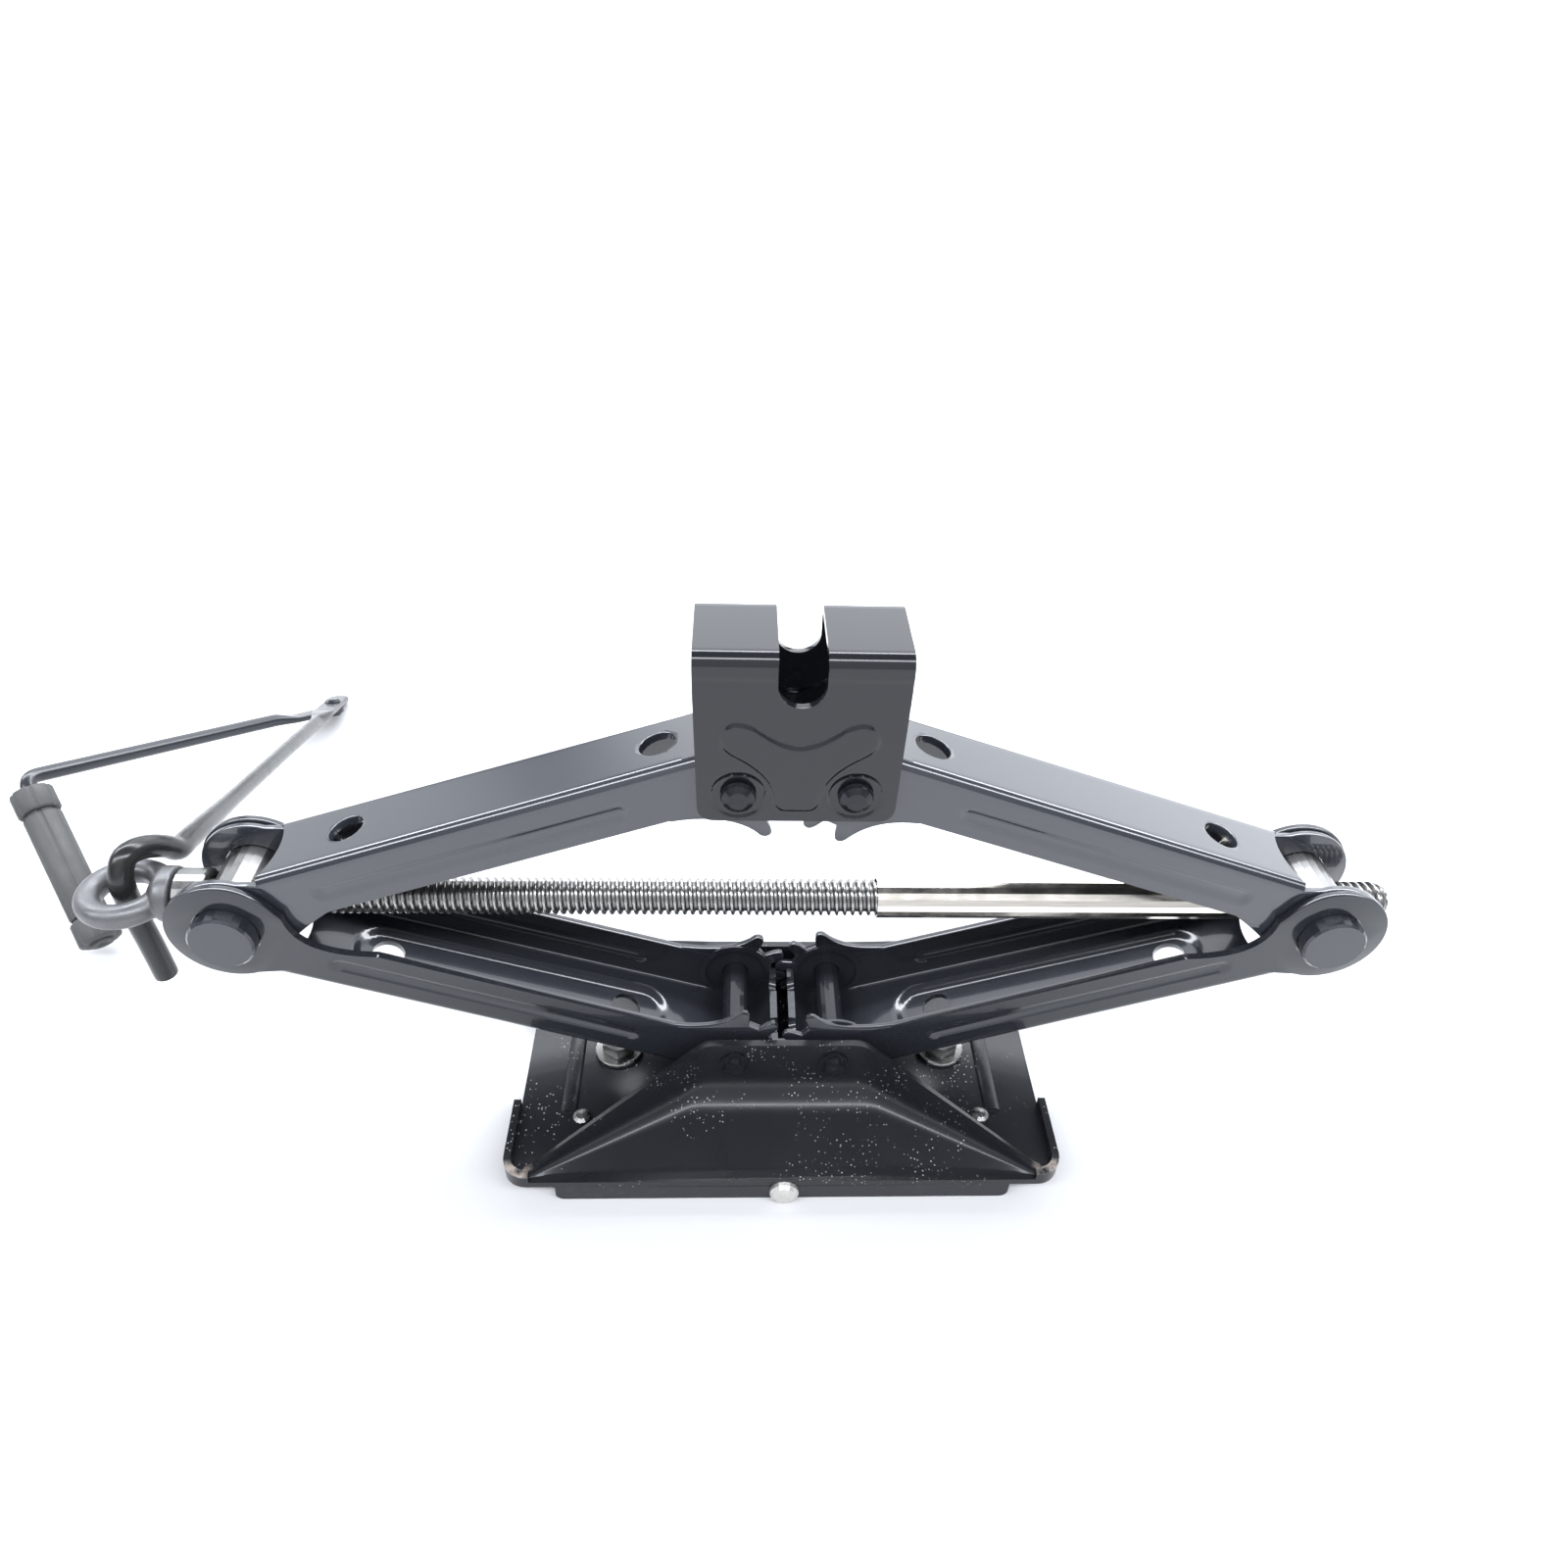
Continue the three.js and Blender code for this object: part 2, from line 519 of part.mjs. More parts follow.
function panOutline(inset) {
  const { rimX, halfX, halfY, rimFrom, corner } = PAN;
  const x = rimX - inset;
  const y = halfY - inset;
  const r = corner - inset;
  const shape = new THREE.Shape();
  const notch = inset ? x : halfX;
  shape.moveTo(notch, -rimFrom);
  shape.lineTo(x, -rimFrom);
  shape.absarc(x - r, -(y - r), r, 0, -Math.PI / 2, true);
  shape.absarc(-(x - r), -(y - r), r, -Math.PI / 2, -Math.PI, true);
  shape.lineTo(-x, -rimFrom);
  shape.lineTo(-notch, -rimFrom);
  shape.lineTo(-notch, rimFrom);
  shape.lineTo(-x, rimFrom);
  shape.absarc(-(x - r), y - r, r, Math.PI, Math.PI / 2, true);
  shape.absarc(x - r, y - r, r, Math.PI / 2, 0, true);
  shape.lineTo(x, rimFrom);
  shape.lineTo(notch, rimFrom);
  return shape;
}

function cornerRims() {
  const band = sheet(panOutline(0), PAN.floor, PAN.rimTop).subtract(
    sheet(panOutline(SHEET), PAN.floor - 1, PAN.rimTop + 1));
  return [-1, 1].flatMap((sx) => [-1, 1].map((sy) => band.intersect(
    block([Math.min(sx * RIM.from, sx * RIM.to), Math.min(sy * RIM.inner, sy * RIM.outer), 0],
      [Math.max(sx * RIM.from, sx * RIM.to), Math.max(sy * RIM.inner, sy * RIM.outer), 40]))));
}

function floorBead(x) {
  const shape = new THREE.Shape();
  shape.absarc(0, 0, BEAD.radius, 0, Math.PI, false);
  const geometry = new THREE.ExtrudeGeometry(shape, { depth: 2 * BEAD.half, bevelEnabled: false,
    curveSegments: 8 });
  geometry.scale(1, BEAD.lift / BEAD.radius, 1).rotateX(Math.PI / 2);
  return solid(geometry.translate(x, BEAD.half, PAN.floor + PAN.sheet - 0.01));
}

function basePan() {
  const floor = sheet(panOutline(0), PAN.floor, PAN.floor + PAN.sheet);
  const wall = baseWall();
  const farWall = baseWall().rotate([0, 0, 180]);
  const keep = block([-120, -PAN.halfY - 0.2, PAN.floor], [120, PAN.halfY + 0.2, 80]);
  const walls = wall.add(farWall).intersect(keep);
  const body = join([floor, walls, ...cornerRims(), floorBead(-BEAD.x), floorBead(BEAD.x)]);
  const drills = [];
  [-1, 1].forEach((side) => {
    drills.push(rod('y', PIN.base + GAP, -40, 40, [side * PIN_X, 0, BASE_PIN_Z], 12));
    drills.push(rod('z', BOLT.shank + GAP, 0, 20, [side * BOLT.x, 0, 0], 14));
    [-1, 1].forEach((far) => drills.push(rod('z', STUD.shank + GAP, 0, 20,
      [side * STUD.x, far * STUD.y, 0], 10)));
  });
  return cut(body, drills);
}

function mountingPlate() {
  const { halfX, halfY, thick, corner } = PLATE;
  const shape = new THREE.Shape();
  shape.moveTo(-halfX + corner, 0);
  shape.lineTo(halfX - corner, 0);
  shape.absarc(halfX - corner, corner, corner, -Math.PI / 2, 0, false);
  shape.lineTo(halfX, thick);
  shape.lineTo(-halfX, thick);
  shape.absarc(-halfX + corner, corner, corner, Math.PI, 1.5 * Math.PI, false);
  const drills = [rod('y', BUTTON.shaft + GAP, -halfY - 1, GAP + BUTTON.depth - halfY,
    [0, 0, BUTTON.z], 12)];
  [-1, 1].forEach((side) => {
    drills.push(rod('z', BOLT.shank + GAP, -1, 20, [side * BOLT.x, 0, 0], 14));
    [-1, 1].forEach((far) => drills.push(rod('z', STUD.shank + GAP, 3, 20,
      [side * STUD.x, far * STUD.y, 0], 10)));
  });
  return cut(slab(shape, -halfY, halfY), drills);
}

function plateButton() {
  const { z, radius, shaft, depth } = BUTTON;
  const face = -PLATE.halfY - GAP;
  const profile = [[0, face - 3.4], [2.4, face - 3.3], [radius - 1, face - 2.8],
    [radius, face - 1.6], [radius, face], [shaft, face], [shaft, face + depth], [0, face + depth]];
  return turned(profile, 'y', [0, 0, z], 16).intersect(block([-20, -80, 0.4], [20, 0, 40]));
}

// hexagon head with a round chamfer, seated on a flat washer
function bolt(x) {
  const { across, head, shank, crown, tip } = BOLT;
  const seat = PAN.floor + PAN.sheet + WASHER.thick + 2 * GAP;
  const hexagon = new THREE.CylinderGeometry(across, across, head, 6).rotateX(Math.PI / 2);
  const dome = turned([[0, seat - 1], [9, seat - 1], [9, seat + crown], [tip, seat + crown + 1.2],
    [0, seat + crown + 1.2]], 'z', [x, 0, 0], 20);
  return solid(hexagon.translate(x, 0, seat + head / 2)).intersect(dome)
    .add(rod('z', shank, 0.6, seat + 1, [x, 0, 0], 14));
}

function washer(x) {
  const { bore, outer, thick } = WASHER;
  const floor = PAN.floor + PAN.sheet + GAP;
  return turned([[bore, floor], [outer - 0.8, floor], [outer, floor + 0.5],
    [outer, floor + thick - 0.4], [outer - 0.4, floor + thick], [bore, floor + thick],
    [bore, floor]], 'z', [x, 0, 0], 20);
}

function stud([x, y]) {
  const { shank, head, height } = STUD;
  const top = PAN.floor + PAN.sheet + GAP;
  return turned([[0, 3.4], [shank, 3.4], [shank, top], [head, top], [head - 0.3, top + height / 2],
    [head - 1.6, top + height - 0.4], [0, top + height]], 'z', [x, y, 0], 12);
}

// ---- knuckles, screw and bearing ------------------------------------------------------------------
function trunnion(side, bore) {
  const { radius, half, chamfer } = TRUNNION;
  const profile = [[0, -half], [radius - chamfer, -half], [radius, -half + chamfer],
    [radius, half - chamfer], [radius - chamfer, half], [0, half]];
  const at = [side * SPAN / 2, 0, SCREW_Z];
  return cut(turned(profile, 'y', at, 24), [rod('x', bore, -20, 20, at, 18)]);
}

const onAxis = [0, 0, SCREW_Z];

function leadScrew() {
  const { radius, journal, end, neck, thread } = SCREW;
  return turned([[0, neck + 0.2], [journal, neck + 0.2], [journal, thread], [radius, thread + 1],
    [radius, end - 1.4], [radius - 1.6, end], [0, end]], 'x', onAxis, 20);
}

function screwEye() {
  const { x, major, minor, squash } = EYE;
  const torus = solid(new THREE.TorusGeometry(major, minor, 10, 22).scale(1, squash, 1)
    .translate(x, 0, SCREW_Z));
  const { radius, from } = COLLAR;
  const neck = SCREW.neck;
  const start = x + major - 3.6;
  const stem = turned([[0, start], [4.4, start], [6.8, start + 2.2], [8.8, from - 0.6],
    [radius - 0.6, from + 0.4], [radius, from + 1.6], [radius, neck - 0.9], [radius - 0.9, neck],
    [0, neck]], 'x', onAxis, 20);
  const clearHole = rod('z', major - minor, -8, 8, [x, 0, SCREW_Z], 28);
  return cut(torus.add(stem), [clearHole, rod('x', SCREW.journal + 0.05, neck, neck + 4, onAxis, 20)]);
}

function thrustSleeve() {
  const { outer, inner, from, to, bore } = THRUST;
  return turned([[inner, from], [outer - 0.5, from], [outer, from + 0.5], [outer, to - 0.5],
    [outer - 0.5, to], [bore, to], [bore, to - 1.5], [inner, to - 1.5], [inner, from]], 'x', onAxis, 20);
}

const BALL = { radius: 1.1, circle: 7.2, count: 7, x: -217.3 };

function bearingRace(from, to) {
  return ring('x', THRUST.inner - GAP, THRUST.bore, from, to, onAxis, 20);
}

function ballCage() {
  const { radius, circle, count, x } = BALL;
  const cage = ring('x', THRUST.inner - GAP, THRUST.bore, x - 0.7, x + 0.7, onAxis, 20);
  const balls = Array.from({ length: count }, (_, i) => {
    const angle = 2 * Math.PI * i / count;
    return solid(new THREE.SphereGeometry(radius, 6, 4)
      .translate(x, circle * Math.cos(angle), SCREW_Z + circle * Math.sin(angle)));
  });
  return join([cage, ...balls]);
}

function stopSleeve() {
  const right = SPAN / 2 - TRUNNION.radius - GAP;
  return ring('x', SLEEVE.outer, SLEEVE.inner, right - SLEEVE.length, right, onAxis, 20);
}

// ---- handle ---------------------------------------------------------------------------------------
const toVector = ([x, y, z]) => new THREE.Vector3(x, y, z);
const SHANK_START = toVector(HOOK[HOOK.length - 1]);
const SHANK_WAY = FOLD.clone().sub(SHANK_START).normalize();
const CRANK_WAY = CORNER.clone().sub(FOLD).normalize();
const GRIP_WAY = GRIP_END.clone().sub(CORNER).normalize();
const FOLD_AXIS = new THREE.Vector3().crossVectors(CRANK_WAY, SHANK_WAY).normalize();

// local frame with +X along the rod, +Z along the fold axis and its origin on the rivet
function alongRod(body, way, height) {
  const up = FOLD_AXIS.clone();
  const across = new THREE.Vector3().crossVectors(up, way).normalize();
  const frame = new THREE.Matrix4().makeBasis(way, across, up);
  frame.setPosition(FOLD.clone().addScaledVector(up, height));
  return solid(geometryOf(body).applyMatrix4(frame));
}

// flattened rod end around the rivet, from `back` on the rod side to `beyond` past the rivet
function tab(way, height, back, beyond) {
  const body = sheet(stadium(-back, beyond, 0, TAB.half), -TAB.thick / 2, TAB.thick / 2)
    .subtract(rod('z', TAB.rivet + GAP, -9, 9, [0, 0, 0], 12));
  return alongRod(body, way, height);
}

const TAB_OFFSET = (TAB.thick + GAP) / 2;

function handleShank() {
  const lift = FOLD_AXIS.clone().multiplyScalar(-TAB_OFFSET);
  const end = FOLD.clone().addScaledVector(SHANK_WAY, 2 - TAB.back).add(lift);
  const hook = new THREE.CatmullRomCurve3([...HOOK.map(toVector),
    SHANK_START.clone().addScaledVector(SHANK_WAY, 12)], false, 'centripetal');
  const bends = hook.getSpacedPoints(HOOK_STEPS);
  const taper = SHANK_START.clone().addScaledVector(SHANK_WAY, ROD.taper);
  const radii = [...bends.map(() => ROD.hook), ROD.straight, ROD.straight];
  const rodBody = bentRod([...bends, taper, end], radii);
  return rodBody.add(tab(SHANK_WAY, -TAB_OFFSET, TAB.back, TAB.beyond));
}

function crankRod() {
  const lift = FOLD_AXIS.clone().multiplyScalar(TAB_OFFSET);
  const start = FOLD.clone().addScaledVector(CRANK_WAY, TAB.back - 2).add(lift);
  const bend = new THREE.QuadraticBezierCurve3(CORNER.clone().addScaledVector(CRANK_WAY, -ELBOW),
    CORNER, CORNER.clone().addScaledVector(GRIP_WAY, ELBOW));
  const tip = GRIP_END.clone().addScaledVector(GRIP_WAY, 1.5);
  const points = [start, ...bend.getSpacedPoints(7), tip];
  const rodBody = bentRod(points, points.map(() => ROD.straight));
  return rodBody.add(tab(CRANK_WAY.clone().negate(), TAB_OFFSET, TAB.back, TAB.half));
}

function foldRivet() {
  const reach = TAB.thick + GAP / 2 + GAP;
  const body = turned([[0, -reach - 1.7], [3.4, -reach - 1.5], [TAB.head, -reach], [TAB.rivet, -reach],
    [TAB.rivet, reach], [TAB.head, reach], [3.4, reach + 1.5], [0, reach + 1.7]],
  'z', [0, 0, 0], 16);
  return alongRod(body, SHANK_WAY, 0);
}

// plastic grip: fluted barrel between two collars, bored for the rod
function grip() {
  const { start, radius, collar, collarLength, bore } = GRIP;
  const length = CORNER.distanceTo(GRIP_END) - start;
  const end = length - collarLength;
  const body = turned([[bore, 0], [collar - 0.8, 0], [collar, 0.8], [collar, collarLength - 0.6],
    [collar - 1, collarLength], [radius - 0.6, collarLength + 0.3], [radius, collarLength + 1.6],
    [radius, end - 1.6], [radius - 0.6, end - 0.3], [collar - 1, end], [collar, end + 0.6],
    [collar, length - 1], [collar - 1, length], [bore, length], [bore, 0]], 'z', [0, 0, 0], 20);
  const flutes = Array.from({ length: GRIP_FLUTES }, (_, i) => {
    const angle = 2 * Math.PI * (i + 0.5) / GRIP_FLUTES;
    return rod('z', 1.2, collarLength + 2, end - 2,
      [(radius + 0.4) * Math.cos(angle), (radius + 0.4) * Math.sin(angle), 0], 8);
  });
  const frame = new THREE.Matrix4().makeRotationFromQuaternion(new THREE.Quaternion()
    .setFromUnitVectors(new THREE.Vector3(0, 0, 1), GRIP_WAY));
  frame.setPosition(CORNER.clone().addScaledVector(GRIP_WAY, start));
  return solid(geometryOf(cut(body, flutes)).applyMatrix4(frame));
}

// ---- the assembly ---------------------------------------------------------------------------------
const group = new THREE.Group();
group.add(piece('base_pan', basePan(), BLACK_PAINT));
group.add(piece('mounting_plate', mountingPlate(), BLACK_PAINT));
group.add(piece('plate_button', plateButton(), ZINC));
[[-1, 'left'], [1, 'right']].forEach(([side, word]) => {
  group.add(piece(`base_bolt_${word}`, bolt(side * BOLT.x), ZINC));
  group.add(piece(`base_washer_${word}`, washer(side * BOLT.x), ZINC));
  group.add(piece(`base_pin_${word}`, basePin(side), BLACK_PAINT));
  group.add(piece(`saddle_pin_${word}`, saddlePin(side), BLACK_PAINT));
  [[-1, 'front'], [1, 'back']].forEach(([far, place]) => group.add(
    piece(`plate_rivet_${word}_${place}`, stud([side * STUD.x, far * STUD.y]), ZINC)));
});
group.add(...arms());
group.add(piece('saddle', saddleBody(), BLACK_PAINT));
group.add(piece('trunnion_left', trunnion(-1, SCREW.journal + GAP), BRIGHT_STEEL));
group.add(piece('trunnion_right', trunnion(1, SCREW.radius + GAP), BRIGHT_STEEL));
group.add(piece('lead_screw', leadScrew(), SCREW_STEEL));
group.add(piece('screw_eye', screwEye(), FORGED));
group.add(piece('thrust_sleeve', thrustSleeve(), ZINC));
group.add(piece('bearing_race_outer', bearingRace(-222.6, -219.1), BRIGHT_STEEL));
group.add(piece('bearing_balls', ballCage(), BRIGHT_STEEL));
group.add(piece('bearing_race_inner', bearingRace(-215.5, THRUST.to - 1.5 - GAP), BRIGHT_STEEL));
group.add(piece('stop_sleeve', stopSleeve(), BRIGHT_STEEL));
group.add(piece('handle_shank', handleShank(), ROD_STEEL));
group.add(piece('handle_crank', crankRod(), ROD_STEEL));
group.add(piece('fold_rivet', foldRivet(), ROD_STEEL));
group.add(piece('handle_grip', grip(), GRIP_PLASTIC));

export default group;
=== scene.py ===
"""Looks of the geared scissor jack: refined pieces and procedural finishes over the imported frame."""
import math

import bmesh
import bpy
from mathutils import Matrix, Vector


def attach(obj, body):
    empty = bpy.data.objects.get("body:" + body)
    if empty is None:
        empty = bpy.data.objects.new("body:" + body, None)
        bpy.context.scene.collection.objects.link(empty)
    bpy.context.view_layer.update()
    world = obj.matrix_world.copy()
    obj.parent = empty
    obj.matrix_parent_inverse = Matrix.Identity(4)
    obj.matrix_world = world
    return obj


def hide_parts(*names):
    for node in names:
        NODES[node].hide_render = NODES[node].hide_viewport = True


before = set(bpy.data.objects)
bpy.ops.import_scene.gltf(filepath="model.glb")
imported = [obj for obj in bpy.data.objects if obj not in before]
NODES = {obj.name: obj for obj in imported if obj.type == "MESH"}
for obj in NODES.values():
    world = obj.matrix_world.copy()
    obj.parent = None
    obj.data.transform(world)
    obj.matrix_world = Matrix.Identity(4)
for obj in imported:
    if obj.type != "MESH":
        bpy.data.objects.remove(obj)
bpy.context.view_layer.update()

MM = 0.001

# ---- shared sizes, in millimetres ---------------------------------------------------------------
SCREW_Z = 101.4                 # height of the screw's axis
THREAD_PITCH = 3.0


# ---- shader kit -----------------------------------------------------------------------------------
class Tree:
    """A node tree with a short way to add and link its nodes."""

    def __init__(self, owner):
        owner.use_nodes = True
        self.tree = owner.node_tree

    def node(self, kind, sockets=None, **settings):
        """A new node; sockets gives each input socket a plain value or a source."""
        made = self.tree.nodes.new(kind)
        for key, value in settings.items():
            setattr(made, key, value)
        for socket, value in (sockets or {}).items():
            self.feed(made.inputs[socket], value)
        return made

    def feed(self, socket, value):
        """Sets a socket to a plain value, or links it to a source."""
        if isinstance(value, (float, int, tuple, Vector)):
            socket.default_value = value
        else:
            self.tree.links.new(value, socket)

    def maths(self, operation, first, second=0.0):
        return self.node("ShaderNodeMath", {0: first, 1: second}, operation=operation).outputs[0]


class Shader(Tree):
    """A material and the parts that its look is made of."""

    def __init__(self, name):
        self.material = bpy.data.materials.new(name)
        super().__init__(self.material)
        self.surface = self.tree.nodes["Principled BSDF"]

    def place(self):
        """Where the point is at rest, in metres."""
        return self.node("ShaderNodeTexCoord").outputs["Object"]

    def along(self, axis):
        return self.node("ShaderNodeSeparateXYZ", {0: self.place()}).outputs[axis]

    def band(self, axis, scale, stops, both_sides=True):
        """Ramp over the distance along an axis times scale."""
        value = self.along(axis)
        if both_sides:
            value = self.maths("ABSOLUTE", value)
        return self.ramp(self.maths("MULTIPLY", value, scale), stops)

    def noise(self, scale, detail=4.0, rough=0.55, source=None):
        sockets = {"Vector": source or self.place(), "Scale": scale, "Detail": detail, "Roughness": rough}
        return self.node("ShaderNodeTexNoise", sockets).outputs["Fac"]

    def ramp(self, source, stops):
        made = self.node("ShaderNodeValToRGB", {"Fac": source})
        marks = made.color_ramp.elements
        while len(marks) < len(stops):
            marks.new(0.5)
        for mark, (place, value) in zip(marks, stops):
            mark.position = place
            mark.color = value if isinstance(value, tuple) else (value, value, value, 1)
        return made.outputs["Color"]

    def mix(self, factor, first, second):
        made = self.node("ShaderNodeMix", data_type="RGBA")
        # 0, 6 and 7 are the Mix node's factor and its two colours, and output 2 is its colour
        for socket, value in ((0, factor), (6, first), (7, second)):
            self.feed(made.inputs[socket], value)
        return made.outputs[2]

    def bump(self, height, strength, distance, under=None):
        sockets = {"Height": height, "Strength": strength, "Distance": distance}
        if under is not None:
            sockets["Normal"] = under
        return self.node("ShaderNodeBump", sockets).outputs["Normal"]

    def set(self, **values):
        for key, value in values.items():
            self.feed(self.surface.inputs[key.replace("_", " ")], value)
        return self


def grey(value, tint=(1.0, 1.0, 1.0)):
    return (value * tint[0], value * tint[1], value * tint[2], 1.0)


TINT = (0.88, 0.98, 1.22)       # the paint's slight blue cast
WARM = (1.0, 0.98, 0.95)        # the cast of turned steel


def edge_wear_and_highlight(shader, low, high):
    """Bright on convex edges, from the mesh itself: worn paint on edges, and a painted highlight on thread
    crests.
    """
    point = shader.node("ShaderNodeNewGeometry").outputs["Pointiness"]
    return shader.ramp(point, [(low, 0.0), (high, 1.0)])


def speckled(s, colour, normal, strength):
    """Fine pimples in patches whose light dots in the colour are painted glints, and bare metal where the
    corners have rubbed.
    """
    cells = s.node("ShaderNodeTexVoronoi", {"Vector": s.place(), "Scale": 800})
    pimple_glints = s.ramp(cells.outputs["Distance"], [(0.16, 1.0), (0.3, 0.0)])
    cell_number = s.node("ShaderNodeSeparateXYZ", {0: cells.outputs["Color"]}).outputs["X"]
    chosen = s.ramp(cell_number, [(0.6, 0.0), (0.62, 1.0)])
    patch = s.ramp(s.noise(42, 4), [(0.52, 0.0), (0.6, 1.0)])
    pimple_glints = s.maths("MULTIPLY", s.maths("MULTIPLY", pimple_glints, chosen), patch)
    # painted glints: the pimples are lightened in the colour
    colour = s.mix(pimple_glints, colour, grey(0.35))
    rubbed = s.band("X", 8.0, [(0.76, 0.0), (0.8, 1.0)])
    rubbed = s.maths("MULTIPLY", rubbed, s.band("Z", 30.0, [(0.42, 0.0), (0.45, 1.0)], both_sides=False))
    rubbed = s.maths("MULTIPLY", rubbed, s.band("Y", 10.0, [(0.55, 0.0), (0.585, 1.0)]))
    rubbed = s.maths("MULTIPLY", rubbed, s.ramp(s.noise(220, 4), [(0.4, 0.0), (0.6, 0.85)]))
    colour = s.mix(rubbed, colour, grey(0.42, (1.0, 0.86, 0.76)))
    return colour, s.bump(pimple_glints, strength, 0.0006, normal)


def paint(name, base, rough, coat=0.4, speckle=0.0, peel=0.03, gloss=0.5):
    """Smooth gloss paint over steel: faint orange peel, uneven gloss, thin places on the edges."""
    s = Shader(name)
    colour = s.mix(s.noise(24, 3), grey(base * 0.94, TINT), grey(base * 1.08, TINT))
    rub = s.maths("MULTIPLY", edge_wear_and_highlight(s, 0.54, 0.62), s.ramp(s.noise(300, 4), [(0.5, 0.0), (0.66, 0.8)]))
    colour = s.mix(rub, colour, grey(base * 2.2, TINT))
    roughness = s.ramp(s.noise(60, 4), [(0.3, rough * 0.88), (0.75, rough * 1.12)])
    normal = s.bump(s.noise(330, 2), peel, 0.0003)
    # speckle lightens fine pimples in the colour as painted glints
    if speckle:
        colour, normal = speckled(s, colour, normal, speckle)
    s.set(Base_Color=colour, Roughness=roughness, Normal=normal, Metallic=0.0)
    return s.set(Coat_Weight=coat, Coat_Roughness=0.035, Specular_IOR_Level=gloss).material


def steel(name, base, rough, tint=(1, 1, 1), streak=None, wear=0.5, bump=0.1, metallic=1.0):
    """Bare or plated steel; streak is the axis along which it was brushed or turned."""
    s = Shader(name)
    place = s.place()
    if streak:
        scale = tuple(0.04 if axis in streak else 1.0 for axis in "xyz")
        place = s.node("ShaderNodeMapping", {"Vector": place, "Scale": scale}).outputs["Vector"]
    lines = s.noise(1400, 3, 0.6, place)
    stains = s.noise(60, 6)
    colour = s.mix(stains, grey(base * (1 - 0.35 * wear), tint), grey(base * (1 + 0.2 * wear), tint))
    colour = s.mix(s.ramp(lines, [(0.35, 0.0), (0.7, 1.0)]), colour, grey(base * 0.8, tint))
    roughness = s.ramp(s.noise(150, 5), [(0.3, rough * 0.7), (0.8, min(rough * 1.5, 1.0))])
    normal = s.bump(lines, bump, 0.0002)
    normal = s.bump(stains, 0.08, 0.0008, normal)
    s.set(Base_Color=colour, Roughness=roughness, Normal=normal, Metallic=metallic)
    return s.material


def head_painted_steel(name, base, rough):
    """Turned bar whose ends, outside the arms' flanges, are painted as the arms are."""
    s = Shader(name)
    end = s.band("Y", 25.0, [(0.395, 0.0), (0.41, 1.0)])
    turned = s.mix(s.noise(900, 3), grey(base), grey(base * 0.8, WARM))
    colour = s.mix(end, turned, grey(0.022, TINT))
    shine = s.mix(end, s.ramp(s.noise(120, 4), [(0.3, rough * 0.8), (0.8, rough * 1.3)]), grey(0.22))
    metal = s.maths("SUBTRACT", 1.0, end)
    s.set(Base_Color=colour, Roughness=shine, Metallic=metal, Normal=s.bump(s.noise(330, 2), 0.03, 0.0003))
    return s.set(Coat_Weight=0.35, Coat_Roughness=0.04).material


def thread_steel(name):
    """Rolled thread: worn crests lightened as a painted highlight, over roots darkened as painted shade."""
    s = Shader(name)
    crest = edge_wear_and_highlight(s, 0.46, 0.56)
    stains = s.noise(70, 4)
    worn = s.mix(stains, grey(0.33), grey(0.44, WARM))
    # painted shade darkens the roots and a painted highlight lightens the crests
    colour = s.mix(crest, grey(0.09, (1.0, 0.95, 0.88)), worn)
    roughness = s.ramp(crest, [(0.0, 0.4), (1.0, 0.22)])
    s.set(Base_Color=colour, Roughness=roughness, Metallic=0.95, Normal=s.bump(stains, 0.04, 0.0002))
    return s.material


def shank_steel(name):
    """Black oxide on the hook and the flat end, worn to grey steel along the shank between them."""
    s = Shader(name)
    bare = s.band("Y", 3.5, [(0.077, 0.0), (0.21, 1.0), (0.86, 1.0), (0.9, 0.0)], both_sides=False)
    stains = s.noise(90, 5)
    colour = s.mix(bare, grey(0.02), s.mix(stains, grey(0.075), grey(0.105)))
    roughness = s.ramp(s.noise(150, 4), [(0.3, 0.16), (0.8, 0.32)])
    s.set(Base_Color=colour, Roughness=roughness, Metallic=s.ramp(bare, [(0.0, 0.25), (1.0, 0.75)]),
          Normal=s.bump(stains, 0.08, 0.0004))
    return s.material


def plastic(name, base):
    """Moulded grip plastic: dull, with a fine spark-eroded grain."""
    s = Shader(name)
    colour = s.mix(s.noise(45, 4), grey(base * 0.8), grey(base * 1.25))
    roughness = s.ramp(s.noise(200, 4), [(0.3, 0.45), (0.8, 0.7)])
    s.set(Base_Color=colour, Roughness=roughness, Normal=s.bump(s.noise(2200, 2), 0.25, 0.0002))
    return s.material


